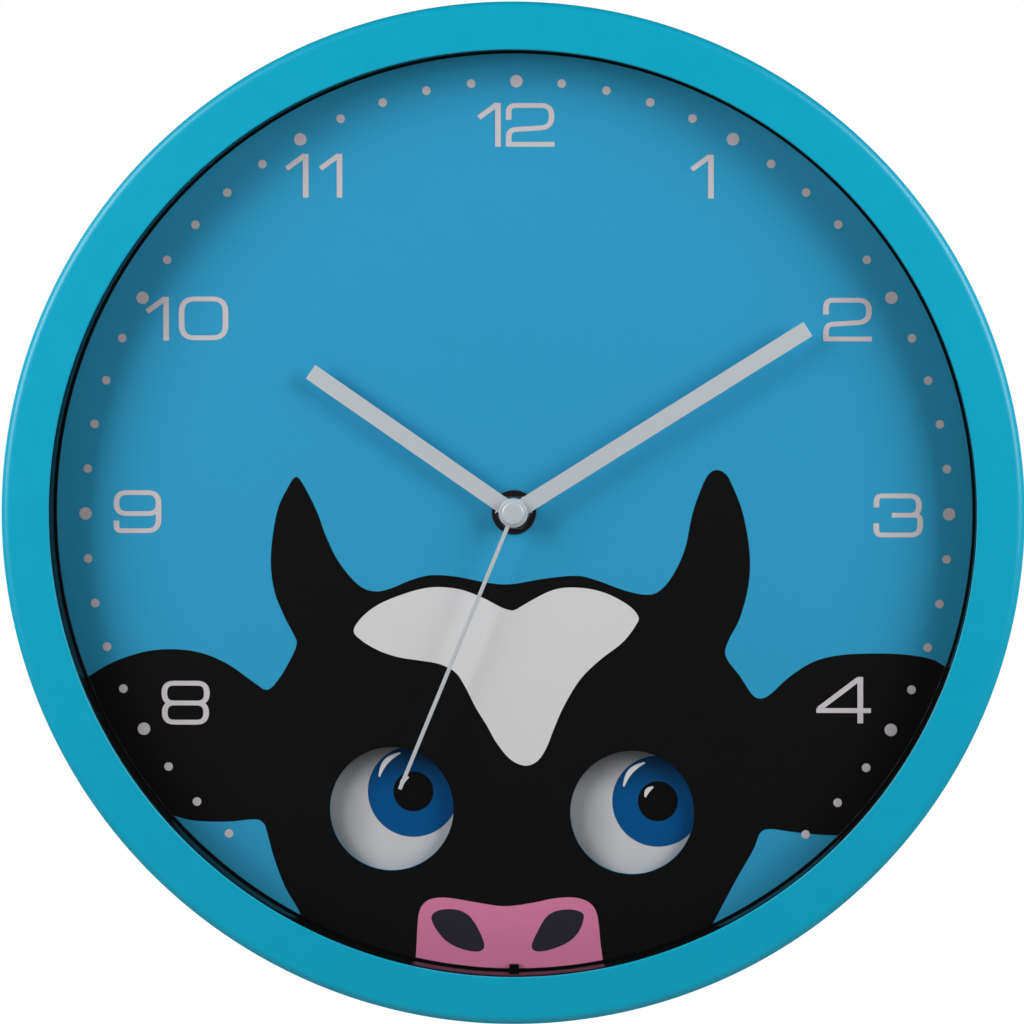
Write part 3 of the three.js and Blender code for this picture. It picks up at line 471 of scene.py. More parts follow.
SLOT_MATERIALS = {
    "blue_lacquer": LACQUER,
    "rubber": RUBBER,
    "glass": GLASS,
    "gloss_black": GLOSS_BLACK,
    "printed_dial": DIAL_BLUE,
    "black_plastic": BLACK_PLASTIC,
    "steel": STEEL,
    "brass": BRASS,
    "dark_steel": DARK_STEEL,
    "chrome": CHROME,
    "hand_aluminium": HAND_METAL,
    "wheel_plastic": CREAM_PLASTIC,
    "white_plastic": WHITE_PLASTIC,
    "copper": COPPER,
    "board": BOARD,
    "battery_sleeve": SLEEVE,
}

# Every CAD node that stays in view takes its slot's finish.
for part in frame["record"]["subparts"]:
    mesh = frame["nodes"][part["node"]].data
    mesh.materials.clear()
    mesh.materials.append(SLOT_MATERIALS[part["material_slot"]])


def dress(piece, body, node=None):
    """Fastens a piece to its CAD body, and hides the CAD node that it stands for."""
    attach(piece, body)
    if node:
        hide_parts(node)


# ------------------------------------------------------------------ case, lens and spacer ring


def make_case():
    """The blue pan: a flat ring in front, a rounded shoulder and a straight side, open at the back."""
    shoulder = 2.5
    edge = 0.35
    support = 0.4  # a ring of vertices this far from each rounded edge keeps the straight side evenly shaded
    lip_back = CASE_FRONT + LIP_THICKNESS
    wall_inner = CASE_RADIUS - CASE_WALL
    profile = [(LIP_INNER_RADIUS, lip_back)]
    profile += bend(LIP_INNER_RADIUS + edge, CASE_FRONT + edge, edge, 180, 270, 4)
    profile += bend(CASE_RADIUS - shoulder, CASE_FRONT + shoulder, shoulder, -90, 0, 10)
    profile += [(CASE_RADIUS, CASE_FRONT + shoulder + support), (CASE_RADIUS, CASE_BACK - edge - support)]
    profile += bend(CASE_RADIUS - edge, CASE_BACK - edge, edge, 0, 90, 3)
    profile += bend(wall_inner + edge, CASE_BACK - edge, edge, 90, 180, 3)
    profile += [(wall_inner, lip_back)]
    dress(lathe("case_shell", profile, LACQUER, steps=480), "clock_body", "case")


def make_lens():
    front, back = span("lens")
    chamfer = 0.3
    profile = [
        (0, front),
        (STACK_RADIUS - chamfer, front),
        (STACK_RADIUS, front + chamfer),
        (STACK_RADIUS, back - chamfer),
        (STACK_RADIUS - chamfer, back),
        (0, back),
    ]
    dress(lathe("lens_glass", profile, GLASS), "clock_body", "lens")


def make_spacer():
    """Channel ring with a fine foot on the dial, and a small locating key at six o'clock."""
    edge = 0.15
    flange = 0.8
    outer_wall = SPACER_INNER_RADIUS + 1.4
    profile = bend(SPACER_INNER_RADIUS + edge, SPACER_FRONT + edge, edge, 180, 270, 3)
    profile += [
        (STACK_RADIUS, SPACER_FRONT),
        (STACK_RADIUS, SPACER_FRONT + flange),
        (outer_wall, SPACER_FRONT + flange),
        (outer_wall, SPACER_BACK - flange),
        (STACK_RADIUS, SPACER_BACK - flange),
        (STACK_RADIUS, SPACER_BACK),
        (SPACER_FOOT_RADIUS, SPACER_BACK),
    ]
    profile += bend(SPACER_FOOT_RADIUS + edge, SPACER_BACK - flange + edge, edge, 180, 270, 3)
    profile += [(SPACER_INNER_RADIUS, SPACER_BACK - flange)]
    ring = lathe("spacer_channel", profile, GLOSS_BLACK, steps=FINE_STEPS)
    dress(ring, "clock_body", "spacer_ring")
    key_half = 1.4
    key_top = -SPACER_FOOT_RADIUS + 1.4
    key_bottom = -SPACER_INNER_RADIUS - 0.6
    key_front = SPACER_BACK - 2
    outline = rounded(rectangle(-key_half, key_half, key_bottom, key_top), 0.3, closed=True, steps=3)
    key = sheet("spacer_key", [outline], key_front, SPACER_BACK, GLOSS_BLACK, bevel=0.1)
    dress(key, "clock_body")


# ------------------------------------------------------------------ dial and its print

PRINT = 0.03  # thickness of one printed layer, in millimetres
PRINT_EDGE = 141.0  # the print runs on under the spacer ring's foot to this radius
PRINT_OFFSET = (0.8, -0.5)  # the print sits this far off the arbor
EYE_STEPS = 144


def offset(points):
    return [(x + PRINT_OFFSET[0], z + PRINT_OFFSET[1]) for x, z in points]


def eye_holes():
    return [circle(x, z, EYE_HOLE_RADIUS, EYE_STEPS) for x, z in EYE_HOLES]


def printed(name, loops, level, material, body="clock_body", base=DIAL_FRONT):
    """A printed area: a very thin plate, level layers in front of the surface it is printed on."""
    back = base - level * PRINT
    dress(sheet(name, loops, back - PRINT, back, material), body)


def make_dial():
    loops = [circle(0, 0, STACK_RADIUS, FINE_STEPS), circle(0, 0, DIAL_HOLE_RADIUS), *eye_holes()]
    board = sheet("dial_board", loops, DIAL_FRONT, DIAL_BACK, DIAL_BLUE, bevel=0.12)
    dress(board, "clock_body", "dial")


def make_cow():
    """The head's outline, clockwise from the left ear's tip, and cut off by the edge of the print."""
    left_side = [
        (-134, -52.5), (-126.5, -48), (-119.5, -44), (-110.5, -41), (-102, -40.2), (-93.5, -41.3),
        (-85.5, -44.7), (-78, -50), (-74, -52.2), (-70.5, -49), (-66.7, -42.5), (-65.2, -38.5), (-66, -36),
        (-69.2, -29.7), (-72, -22), (-72.8, -12.3), (-71, 0.3), (-67.8, 7.6), (-65.2, 10.9), (-62.6, 7.6),
        (-59, 0.3), (-56.5, -6.6), (-52.7, -14.3), (-47, -21), (-42, -23), (-37, -22), (-31.5, -19.7),
        (-25.5, -18.2), (-18, -18.6), (-8, -20.5), (-1.5, -20.8),
    ]
    right_side = [
        (8, -19.2), (17.5, -18.3), (23.5, -19.6), (31.5, -22.5), (38, -23.9), (42, -22.9), (46, -18.4),
        (49.7, -10.4), (52, 0.3), (55, 8.7), (57, 12), (59, 13), (61.3, 12.2), (63.2, 9.5), (66.8, 0.3),
        (68.8, -11.3), (68.5, -21), (66, -30.7), (62.8, -37), (61.6, -40.8), (62.7, -43.8), (66, -48),
        (69.5, -53.3), (72, -54.6), (75, -53.3), (80.7, -48.1), (87.5, -43.8), (95, -41.8), (105, -41.2),
        (114.5, -41.5), (122.3, -42.8), (127, -45.2), (135, -49.5),
    ]
    right_ear_below = [
        (101, -96), (95, -95.2), (88.5, -94.9), (80.5, -94), (75, -93.3), (72, -94.5), (70, -99.4),
        (65, -108.2), (58.4, -120.7), (53.5, -130.5),
    ]
    left_ear_below = [
        (-61.5, -126.5), (-64.5, -118.3), (-68.7, -111), (-72, -102.3), (-74, -95), (-75.2, -91.8),
        (-78, -90.7), (-85.5, -91.4), (-95, -91.2), (-101, -89.9), (-108.5, -87.8),
    ]
    outline = curved(left_side + right_side)
    outline += arc(PRINT_EDGE, -21.5, -41)
    outline += curved(right_ear_below)
    outline += arc(PRINT_EDGE, -68.5, -115)
    outline += curved(left_ear_below)
    outline += arc(PRINT_EDGE, -142.5, -157)
    printed("print_cow", [offset(outline), *eye_holes()], 0, PRINT_BLACK)


def make_blaze():
    """The white patch on the forehead."""
    outline = [
        (-48.3, -34.5), (-46.3, -37.3), (-41, -40.5), (-35, -42.5), (-28.5, -43.5), (-23, -44.5),
        (-18.3, -46.9), (-15.5, -50.9), (-12.3, -57.2), (-9, -62.6), (-6, -67.9), (-2, -72.7), (2.3, -74.6),
        (6, -73.3), (8.7, -69.4), (11, -63.6), (14, -56.8), (18.7, -49.1), (24.5, -43.3), (31.3, -38),
        (35.3, -32.8), (35.9, -30.3), (33.2, -27.2), (27.4, -23.9), (21.5, -22.2), (15, -21.8), (10, -22.8),
        (4.2, -25.7), (-0.5, -28.4), (-2.5, -28.4), (-5.2, -27.4), (-10, -24.9), (-16.4, -22.5),
        (-23, -21.7), (-28.5, -22.3), (-35, -24.3), (-41, -26.9), (-45.6, -30.4),
    ]
    printed("print_blaze", [offset(curved_loop(outline))], 1, PRINT_WHITE)


def make_muzzle():
    """The pink muzzle, cut off by the edge of the print, and its two nostrils."""
    top = [
        (-30.6, -138), (-30, -131), (-29.5, -122), (-28.9, -117.8), (-27.3, -115.3), (-24.8, -114.1),
        (-21, -113.9), (-16.5, -114.5), (-11.5, -115.4), (-3.5, -116.4), (5, -115.3), (10, -114.2),
        (15, -113.7), (18.8, -114.1), (21.7, -115.5), (23.4, -117.8), (24.2, -121.6), (24.7, -127),
        (25.3, -131.5), (26.2, -138.5),
    ]
    printed("print_muzzle", [offset(curved(top) + arc(PRINT_EDGE, -79.3, -102.5))], 1, PRINT_PINK)
    left = [
        (-25.4, -120), (-24, -118), (-20.7, -117.3), (-17, -117.7), (-14, -119.5), (-11.5, -123.2),
        (-9.8, -127.4), (-10.2, -129.3), (-12.3, -129.9), (-16.5, -129.1), (-20.7, -127), (-23.7, -123.7),
    ]
    right = [
        (19.8, -119.7), (18.8, -118), (15.5, -117.3), (11.3, -117.9), (8.4, -119.9), (6, -124.1),
        (4.4, -127.7), (4.9, -129.4), (7.2, -129.8), (11.3, -128.8), (15.5, -126.8), (18.4, -123.7),
    ]
    printed("print_nostril_left", [offset(curved_loop(left))], 2, PRINT_SLATE)
    printed("print_nostril_right", [offset(curved_loop(right))], 2, PRINT_SLATE)


def make_dots():
    """A ring of minute dots, with larger ones at the hours and none across the cow's chin."""
    ring_radius = 127.7
    hour_dot = 1.85
    minute_dot = 1.28
    left_out = range(24, 37)
    loops = []
    for minute in range(60):
        if minute not in left_out:
            angle = math.radians(90 - 6 * minute)
            x, z = ring_radius * math.cos(angle), ring_radius * math.sin(angle)
            radius = hour_dot if minute % 5 == 0 else minute_dot
            loops.append(offset(circle(x, z, radius, 32)))
    printed("print_minute_dots", loops, 2, PRINT_GREY)


# Numerals are drawn with a flat nib: strokes that run up are a little thicker than those that run across.
NIB_UP = 1.68
NIB_ACROSS = 1.42
CORNER = 3.4
STROKE_LIFT = 0.02  # how far a numeral stands in front of the print below it
STROKE_STEP = 0.004  # and how far each stroke stands in front of the one before, so that no two share a face

# Each glyph is a list of strokes: (points, closed, corner radius), on a body about 14 wide and 13 high.
GLYPHS = {
    "0": [([(0.85, 0.72), (13.85, 0.72), (13.85, 12.2), (0.85, 12.2)], True, CORNER + 0.4)],
    "1": [([(6.15, 0), (6.15, 12.9)], False, 0), ([(0.5, 8.55), (5.9, 12.5)], False, 0)],
    "2": [
        ([(0.8, 7.95), (0.8, 12.15), (13.5, 12.15), (13.5, 5.75), (0.8, 4.95), (0.8, 0.72)], False, CORNER),
        ([(0, 0.72), (14.35, 0.72)], False, 0),
    ],
    "3": [
        ([(0.85, 8.9), (0.85, 12.3), (13.4, 12.3), (13.4, 6.6), (5.35, 6.6)], False, CORNER),
        ([(10.2, 6.6), (13.75, 6.6), (13.75, 0.75), (0.8, 0.75), (0.8, 4.2)], False, CORNER),
    ],
    "4": [
        ([(12.96, 0), (12.96, 13.75)], False, 0),
        ([(0, 3.77), (16.1, 3.77)], False, 0),
        ([(0.75, 4.25), (12.4, 13.05)], False, 0),
    ],
    "8": [
        ([(0.9, 6.42), (13.5, 6.42), (13.5, 12.3), (0.9, 12.3)], True, CORNER - 0.6),
        ([(1.0, 0.72), (13.3, 0.72), (13.3, 6.42), (1.0, 6.42)], True, CORNER - 0.6),
    ],
    "9": [
        ([(0.85, 12.0), (13.35, 12.0), (13.35, 5.8), (0.85, 5.8)], True, CORNER - 0.3),
        ([(13.35, 8.5), (13.35, 0.72), (0.85, 0.72), (0.85, 3.75)], False, CORNER),
    ],
}

# Where each numeral stands: the lower left corner of each of its glyphs.
NUMERALS = {
    "12": (("1", -11.6, 108.4), ("2", -3.1, 108.4)),
    "1": (("1", 51.2, 93.1),),
    "2": (("2", 90.5, 51.0),),
    "3": (("3", 105.4, -6.9),),
    "4": (("4", 88.6, -61.9),),
    "8": (("8", -105.4, -62.6),),
    "9": (("9", -119.4, -5.8),),
    "10": (("1", -109.8, 51.2), ("0", -99.9, 51.3)),
    "11": (("1", -68.4, 93.4), ("1", -58.4, 93.4)),
}


def nib_stroke(points, closed):
    """The outline of a stroke: one loop for an open line, an outer and an inner loop for a closed one."""
    count = len(points)
    sides = ([], [])
    for i, (x, z) in enumerate(points):
        last = points[i - 1] if closed or i else points[i]
        following = points[(i + 1) % count] if closed or i < count - 1 else points[i]
        along = Vector((following[0] - last[0], following[1] - last[1])).normalized()
        across = Vector((-along.y * NIB_UP / 2, along.x * NIB_ACROSS / 2))
        sides[0].append((x + across.x, z + across.y))
        sides[1].append((x - across.x, z - across.y))
    if closed:
        return [sides[0], sides[1]]
    return [sides[0] + sides[1][::-1]]


def make_numerals():
    back = DIAL_FRONT - PRINT
    for numeral, glyphs in NUMERALS.items():
        strokes = []
        for glyph, left, bottom in glyphs:
            for points, closed, corner in GLYPHS[glyph]:
                line = rounded(points, corner, closed) if corner else points
                moved = offset([(x + left, z + bottom) for x, z in line])
                order = len(strokes)
                front = DIAL_FRONT - 2 * PRINT - STROKE_LIFT - STROKE_STEP * order
                strokes.append(sheet(f"stroke_{order}", nib_stroke(moved, closed), front, back, PRINT_GREY))
        dress(joined(f"print_numeral_{numeral}", strokes), "clock_body")


# ------------------------------------------------------------------ eyes

# Centres of the two irises on the plate, at rest at the right-hand end of its swing.
IRISES = ((-30.1, -83.2), (42.5, -86.0))
IRIS_RADIUS = 13.55
PUPIL_RADIUS = 5.95
EYEBALL_RADIUS = 27.6
EYEBALL_SHIFT = (7.1, 0.6)  # from the hole to the middle of the white behind it, at rest
# Each glint runs from one point to another about the iris's centre, with its bulge and its width.
IRIS_GLINT = ((-3.9, 11.5), (-10.2, 4.4), 1.4, 1.55)
PUPIL_GLINT = ((-1.4, 4.3), (-3.8, 1.2), 0.6, 1.4)


def crescent(x, z, start, end, bulge, width):
    """A highlight like a brush mark: a curved stroke from start to end, widest in its middle."""
    tip_share = 0.35  # the stroke's width at its two tips, as a share of the width in its middle
    begin, finish = Vector(start), Vector(end)
    along = finish - begin
    out = Vector((-along.y, along.x)).normalized()
    if out.dot(begin + finish) < 0:
        out = -out
    steps = 14
    outer, inner = [], []
    for i in range(steps + 1):
        t = i / steps
        arch = math.sin(math.pi * t)
        spine = begin + along * t + out * (bulge * arch)
        half = width / 2 * (tip_share + (1 - tip_share) * arch)
        outer.append((x + spine.x + out.x * half, z + spine.y + out.y * half))
        inner.append((x + spine.x - out.x * half, z + spine.y - out.y * half))
    return outer + inner[::-1]


def make_eyes():
    """The plate behind the dial, with both eyes printed on it in layers."""
    body, slot = "eye_plate_body", "white_plastic"
    plate_front = span("eye_plate")[0]
    plate = bevelled_copy("eye_plate_shaped", "eye_plate", WHITE_PLASTIC, width=0.15)
    dress(plate, body, "eye_plate")
    for number, (side, (x, z)) in enumerate(zip(("left", "right"), IRISES)):
        white_x = EYE_HOLES[number][0] + EYEBALL_SHIFT[0]
        white_z = EYE_HOLES[number][1] + EYEBALL_SHIFT[1]
        layers = (
            ("eyeball", circle(white_x, white_z, EYEBALL_RADIUS, EYE_STEPS), EYE_WHITE[number]),
            ("iris", circle(x, z, IRIS_RADIUS, 128), IRIS_BLUE[number]),
            ("pupil", circle(x, z, PUPIL_RADIUS), PUPIL_BLACK),
            ("iris_glint", crescent(x, z, *IRIS_GLINT), PRINT_WHITE),
            ("pupil_glint", crescent(x, z, *PUPIL_GLINT), PRINT_WHITE),
        )
        for level, (kind, outline, material) in enumerate(layers):
            printed(f"{kind}_{side}", [outline], level, material, body, plate_front)


# ------------------------------------------------------------------ hands and centre


def hand_outline(angle, length, width, hub):
    """A straight blade with square ends that runs into a round hub."""
    half = width / 2
    join = math.asin(half / hub)
    start = math.pi / 2 - join
    steps = 40
    points = [(half, length), (half, hub * math.cos(join))]
    for i in range(1, steps):
        turn = start - (2 * math.pi - 2 * join) * i / steps
        points.append((hub * math.cos(turn), hub * math.sin(turn)))
    points += [(-half, hub * math.cos(join)), (-half, length)]
    swing = math.radians(angle)
    cos, sin = math.cos(swing), math.sin(swing)
    return [(x * cos + z * sin, z * cos - x * sin) for x, z in points]


def make_hand(kind, length, width, hub, bore, bevel):
    """One hand's blade. The hour hand's CAD box also holds its collar, and the second hand's its cap."""
    front, back = span(f"{kind}_hand")
    thickness = 0.4
    if kind == "hour":
        back = front + thickness
    if kind == "second":
        front = back - thickness
    outline = hand_outline(HAND_ANGLES[kind], length, width, hub)
    loops = [outline, circle(0, 0, bore, 48)]
    blade = sheet(f"{kind}_hand_blade", loops, front, back, HAND_METAL, bevel=bevel)
    dress(blade, f"{kind}_arbor", f"{kind}_hand")


def make_minute_boss(bore):
    """The low round step on the minute hand's hub."""
    back = span("minute_hand")[0]
    front = back - 0.35
    profile = [(bore, front), (3.9, front), (4.15, back), (bore, back)]
    boss = lathe("minute_hand_boss", profile, HAND_METAL, steps=PLAIN_STEPS)
    dress(boss, "minute_arbor")


def make_second_cap():
    """The round cap in the middle of the second hand."""
    front, back = span("second_hand")
    radius, rim = 3.4, 0.7
    profile = [(0, front)]
    profile += bend(radius - rim, front + rim, rim, -90, 0, 6)
    profile += [(radius, back), (0, back)]
    cap = lathe("second_hand_cap", profile, HAND_METAL, steps=PLAIN_STEPS)
    dress(cap, "second_arbor")


def make_hands():
    minute_bore = 1.6
    make_hand("hour", length=72.8, width=HAND_WIDTH, hub=4.3, bore=2.6, bevel=0.12)
    make_hand("minute", length=102.2, width=HAND_WIDTH, hub=4.3, bore=minute_bore, bevel=0.12)
    make_minute_boss(minute_bore)
    make_hand("second", length=88, width=1.15, hub=4.0, bore=0.6, bevel=0.08)
    make_second_cap()


def make_centre():
    """The dark washer and the bright nut that hold the movement on the dial."""
    front, back = span("dial_washer")
    edge = 0.12
    washer = [
        (DIAL_HOLE_RADIUS, front + edge),
        (DIAL_HOLE_RADIUS + edge, front),
        (WASHER_RADIUS - edge, front),
        (WASHER_RADIUS, front + edge),
        (WASHER_RADIUS, back),
        (DIAL_HOLE_RADIUS, back),
    ]
    ring = lathe("washer_ring", washer, DARK_STEEL, steps=PLAIN_STEPS)
    dress(ring, "clock_body", "dial_washer")
    nut = bevelled_copy("nut_hexagon", "bushing_nut", CHROME, width=0.3, segments=3)
    dress(nut, "clock_body", "bushing_nut")


# ------------------------------------------------------------------ back: cover, hanger, movement


def make_cover():
    """A moulded pan: a flat back with a window and a hanger opening, raised rings, and a deep rim."""
    rim_front, back = span("rear_cover")
    front = back - 1.5
    movement_window = rounded(rectangle(-31.5, 31.5, -32.5, 32.5), 3, closed=True)
    hanger_window = rounded(rectangle(-8, 8, 81, 109), 1.5, closed=True)
    loops = [circle(0, 0, STACK_RADIUS - 0.6, FINE_STEPS), movement_window, hanger_window]
    floor = sheet("rear_cover_floor", loops, front, back, BLACK_PLASTIC, bevel=0.3)
    edge = 0.5
    rim_inner = STACK_RADIUS - 1.6
    rim_overlap = STACK_RADIUS - 2.4
    joint = front + 0.4
    rim = [(rim_inner, joint), (rim_inner, rim_front), (STACK_RADIUS, rim_front)]
    rim += bend(STACK_RADIUS - edge, back - edge, edge, 0, 90, 5)
    rim += [(rim_overlap, back), (rim_overlap, joint)]
    skirt = lathe("rear_cover_rim", rim, BLACK_PLASTIC, steps=FINE_STEPS)
    raised = 0.5
    half = 1.6
    root = back - 0.1
    foot = back - 0.2
    for number, radius in enumerate((62, 138)):
        ridge = [(radius - half, root), *bend(radius, root, half, 180, 0, 10)[1:-1], (radius + half, root)]
        profile = [(radius + half, foot), (radius - half, foot)]
        profile += [(r, root + (y - root) * raised / half) for r, y in ridge]
        ring = lathe(f"rear_cover_ring_{number + 1}", profile, BLACK_PLASTIC, steps=FINE_STEPS)
        dress(ring, "clock_body")
    dress(floor, "clock_body", "rear_cover")
    dress(skirt, "clock_body")


def make_hanger():
    """A pressed plate with a keyhole: a narrow slot that hangs on the screw, above the hole for its head."""
    front, back = span("hanger_plate")
    top = -ARBOR_Z
    slot, head, drop = 2.5, 5.2, 13
    neck = math.degrees(math.asin(slot / head))
    keyhole = bend(0, top - slot, slot, 0, 180, 12)
    keyhole += bend(0, top - drop, head, 90 + neck, 450 - neck, 40)
    outline = rounded(rectangle(-18, 18, top - 27, top + 8), 2.5, closed=True)
    plate = sheet("hanger_plate_pressed", [outline, keyhole], front, back, STEEL, bevel=0.15)
    dress(plate, "clock_body", "hanger_plate")
    for side in (1, 2):
        node = f"hanger_rivet_{side}"
        rivet_front, rivet_back = span(node)
        radius, shank, flare = 3.0, 1.2, 2.2
        seat = back + 0.2
        flare_back = front - 2.2
        profile = [(0, rivet_back)]
        dome_steps = 7
        for i in range(1, dome_steps + 1):
            turn = i / dome_steps * math.pi / 2
            profile.append((radius * math.sin(turn), seat + (rivet_back - seat) * math.cos(turn)))
        profile += [(shank, seat), (shank, flare_back), (flare, flare_back)]
        profile += [(flare, rivet_front), (0, rivet_front)]
        dress(lathe(f"rivet_{side}", profile, STEEL, middle(node), steps=64), "clock_body", node)


def make_bumpers():
    """Two rubber feet with a dimple in the middle."""
    radius, round_off, dimple = 7, 1.2, 0.8
    for side in (1, 2):
        node = f"wall_bumper_{side}"
        front, back = span(node)
        profile = [(0, front), (radius, front)]
        profile += bend(radius - round_off, back - round_off, round_off, 0, 90, 6)
        profile += [(2.2, back), (1.4, back - dimple), (0, back - dimple)]
        bumper = lathe(f"bumper_{side}", profile, RUBBER, middle(node), steps=PLAIN_STEPS)
        dress(bumper, "clock_body", node)


def turned(name, rows, material, steps, spot):
    """A solid round any axis. rows are (radius, height) from one end to the other, and spot tells where the
    point at an x, y and height about that axis stands."""
    core = 0.001  # stands for a radius of nothing, so that the end caps have area
    bm = bmesh.new()
    rings = []
    for radius, height in rows:
        ring = []
        for i in range(steps):
            angle = 2 * math.pi * i / steps
            around = max(radius, core)
            x, y = around * math.cos(angle), around * math.sin(angle)
            ring.append(bm.verts.new(place(*spot(x, y, height))))
        rings.append(ring)
    for first, second in zip(rings, rings[1:]):
        for i in range(steps):
            j = (i + 1) % steps
            bm.faces.new((first[i], first[j], second[j], second[i]))
    bm.faces.new(rings[0])
    bm.faces.new(rings[-1])
    return finish_mesh(name, bm, material)


def make_case_screws():
    """Round-headed screws with a cross recess, square to the case's side."""
    head_radius, head_height, shank = 2.8, 1.3, 1.3
    tip, taper = 5.7, 0.5
    recess, recess_reach, recess_half = 0.55, 1.9, 0.38
    seat = CASE_RADIUS + 0.2
    rows = [(0, seat - tip), (shank, seat - tip + taper), (shank, seat), (head_radius, seat)]
    for i in range(1, 9):
        rise = i / 8 * math.pi / 2
        rows.append((head_radius * math.cos(rise), seat + head_height * math.sin(rise)))
    for number, angle in enumerate(CASE_SCREW_ANGLES):
        turn = Matrix.Rotation(math.radians(90 - angle), 3, "Y")

        def spot(x, y, height):
            in_cross = min(abs(x), abs(y)) < recess_half and math.hypot(x, y) < recess_reach
            sunk = recess if in_cross and height > seat + 0.6 else 0
            turned_spot = turn @ Vector((x, y, height - sunk))
            return turned_spot.x, CASE_SCREW_Y + turned_spot.y, turned_spot.z

        screw = turned(f"case_screw_head_{number + 1}", rows, STEEL, 48, spot)
        dress(screw, "clock_body", f"case_screw_{number + 1}")


def make_battery():
    """A round cell on its side: a printed sleeve, a steel base and a steel nub at the right."""
    low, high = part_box("battery")
    y = (low.y + high.y) / 2 / MM
    z = middle("battery")[1]
    left, right = low.x / MM, high.x / MM
    radius = (high.z - low.z) / 2 / MM
    shoulder = right - 1.3

    def spot(across, up, along):
        return along, y + across, z + up

    sleeve = [
        (radius - 0.6, left + 0.2),
        (radius - 0.1, left + 0.3),
        (radius, left + 0.8),
        (radius, shoulder - 0.9),
        (radius - 0.3, shoulder - 0.4),
        (radius - 1.2, shoulder - 0.3),
    ]
    base = [(0, left), (radius - 1.6, left), (radius - 1.2, left + 0.25), (0, left + 0.25)]
    nub = [
        (0, shoulder - 0.3),
        (5.2, shoulder - 0.3),
        (5.0, shoulder),
        (2.7, shoulder),
        (2.7, right - 0.3),
        (2.3, right),
        (0, right),
    ]
    steps = PLAIN_STEPS
    wrapped = turned("battery_sleeve", sleeve, SLEEVE, steps, spot)
    dress(wrapped, "clock_body", "battery")
    dress(turned("battery_base", base, STEEL, steps, spot), "clock_body")
    dress(turned("battery_nub", nub, STEEL, steps, spot), "clock_body")


def make_eased_nodes():
    """Blocky pieces of the movement and of the eye linkage, with their edges eased."""
    eased = {
        "movement_front": (BLACK_PLASTIC, "black_plastic", "clock_body", 0.4),
        "movement_back": (BLACK_PLASTIC, "black_plastic", "clock_body", 0.4),
        "setting_knob": (WHITE_PLASTIC, "white_plastic", "knob_body", 0.12),
        "eye_bridge": (STEEL, "steel", "clock_body", 0.15),
        "battery_contact_minus": (STEEL, "steel", "clock_body", 0.1),
        "battery_contact_plus": (STEEL, "steel", "clock_body", 0.1),
    }
    for node, (material, slot, body, width) in eased.items():
        dress(bevelled_copy(f"{node}_eased", node, material, width), body, node)


make_case()
make_lens()
make_spacer()
make_dial()
make_cow()
make_blaze()
make_muzzle()
make_dots()
make_numerals()
make_eyes()
make_hands()
make_centre()
make_cover()
make_hanger()
make_bumpers()
make_case_screws()
make_battery()
make_eased_nodes()


# ------------------------------------------------------------------ stage, light and camera


def make_floor():
    """A pale floor below the clock, white to the lens and giving off only a little light."""
    bm = bmesh.new()
    half = 6.0
    height = -0.75
    bm.faces.new([bm.verts.new((x, y, height)) for x, y in rectangle(-half, half, -half, half)])
    material, nodes, links = new_material("pale_floor")
    shader = nodes["Principled BSDF"]
    shader.inputs["Roughness"].default_value = 0.9
    shader.inputs["Base Color"].default_value = (0.9, 0.9, 0.9, 1)
    shader.inputs["Emission Color"].default_value = (1, 1, 1, 1)
    path = nodes.new("ShaderNodeLightPath")
    strength = nodes.new("ShaderNodeMapRange")
    strength.inputs["To Min"].default_value = 0.08
    strength.inputs["To Max"].default_value = 1.0
    links.new(path.outputs["Is Camera Ray"], strength.inputs["Value"])
    links.new(strength.outputs["Result"], shader.inputs["Emission Strength"])
    floor = finish_mesh("floor", bm, material)
    floor.visible_glossy = False


def area_light(name, spot, target, width, height, power):
    light = bpy.data.lights.new(name, "AREA")
    light.shape = "RECTANGLE"
    light.size = width
    light.size_y = height
    light.energy = power
    lamp = bpy.data.objects.new(name, light)
    bpy.context.scene.collection.objects.link(lamp)
    lamp.location = spot
    lamp.rotation_euler = (Vector(target) - Vector(spot)).to_track_quat("-Z", "Y").to_euler()
    return lamp


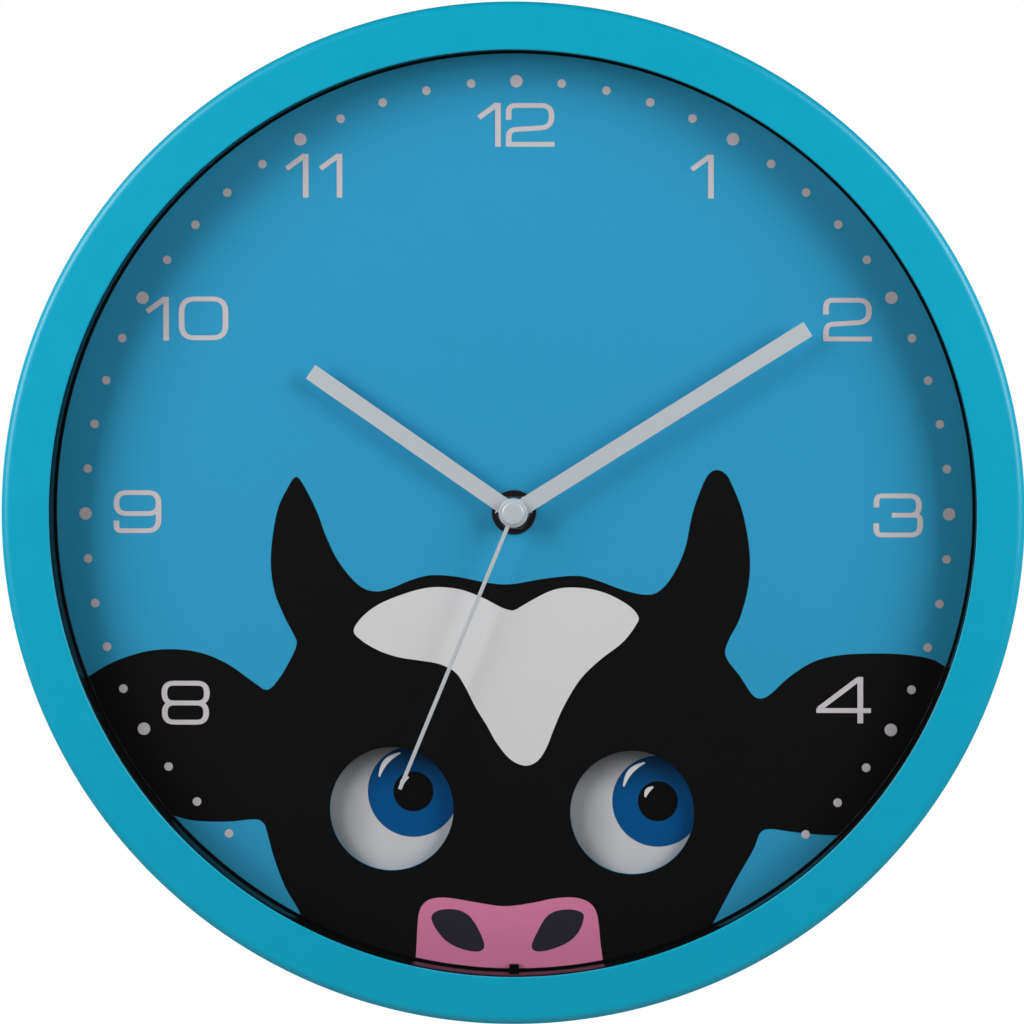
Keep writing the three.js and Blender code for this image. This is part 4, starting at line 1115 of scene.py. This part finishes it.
def make_lights():
    """Two tall soft boxes close in, left and right of the clock and a little above, and fill from behind
    that leaves no highlight."""
    target = (0, 0, ARBOR_Z * MM)
    for name, side, power in (("softbox_left", -1, 6.2), ("softbox_right", 1, 5.8)):
        spot = (side * 0.62, -0.41, ARBOR_Z * MM + 0.29)
        area_light(name, spot, target, width=0.4, height=0.6, power=power)
    for name, spot in (("back_fill_left", (-1.2, 1.3, 0.6)), ("back_fill_right", (1.2, 1.3, 0.3))):
        fill = area_light(name, spot, target, width=1.2, height=1.2, power=14)
        fill.visible_glossy = False


def make_world():
    """A white room as the lens sees it, which itself lights the clock only a little."""
    world = bpy.data.worlds.new("studio")
    bpy.context.scene.world = world
    world.use_nodes = True
    nodes, links = world.node_tree.nodes, world.node_tree.links
    nodes.clear()
    out = nodes.new("ShaderNodeOutputWorld")
    seen = nodes.new("ShaderNodeBackground")
    seen.inputs["Color"].default_value = (1, 1, 1, 1)
    seen.inputs["Strength"].default_value = 1.0
    cast = nodes.new("ShaderNodeBackground")
    cast.inputs["Color"].default_value = (1, 1, 1, 1)
    cast.inputs["Strength"].default_value = 0.03
    path = nodes.new("ShaderNodeLightPath")
    mix = nodes.new("ShaderNodeMixShader")
    links.new(path.outputs["Is Camera Ray"], mix.inputs["Fac"])
    links.new(cast.outputs["Background"], mix.inputs[1])
    links.new(seen.outputs["Background"], mix.inputs[2])
    links.new(mix.outputs["Shader"], out.inputs["Surface"])
    bpy.context.scene.view_settings.view_transform = "Standard"


def make_camera():
    """A long lens that stands 2.5 degrees to the right of the dial's middle and 3 degrees above it, and looks
    nearly square at the dial, so that the rim stays round. The shift brings the clock into the picture."""
    distance = 1.327
    aside = 0.057
    above = 0.0745
    turned_right = math.radians(0.9)
    turned_up = math.radians(1.64)
    data = bpy.data.cameras.new("camera")
    data.sensor_width = 36
    data.lens = 159.77
    data.shift_x = -0.1207
    data.shift_y = -0.119
    data.clip_end = 50
    camera = bpy.data.objects.new("camera", data)
    bpy.context.scene.collection.objects.link(camera)
    camera.location = (aside, CASE_FRONT * MM - distance, ARBOR_Z * MM + above)
    toward = Vector((
        math.sin(turned_right) * math.cos(turned_up),
        -math.cos(turned_right) * math.cos(turned_up),
        math.sin(turned_up),
    ))
    camera.rotation_euler = (-toward).to_track_quat("-Z", "Y").to_euler()
    bpy.context.scene.camera = camera


make_floor()
make_lights()
make_world()
make_camera()
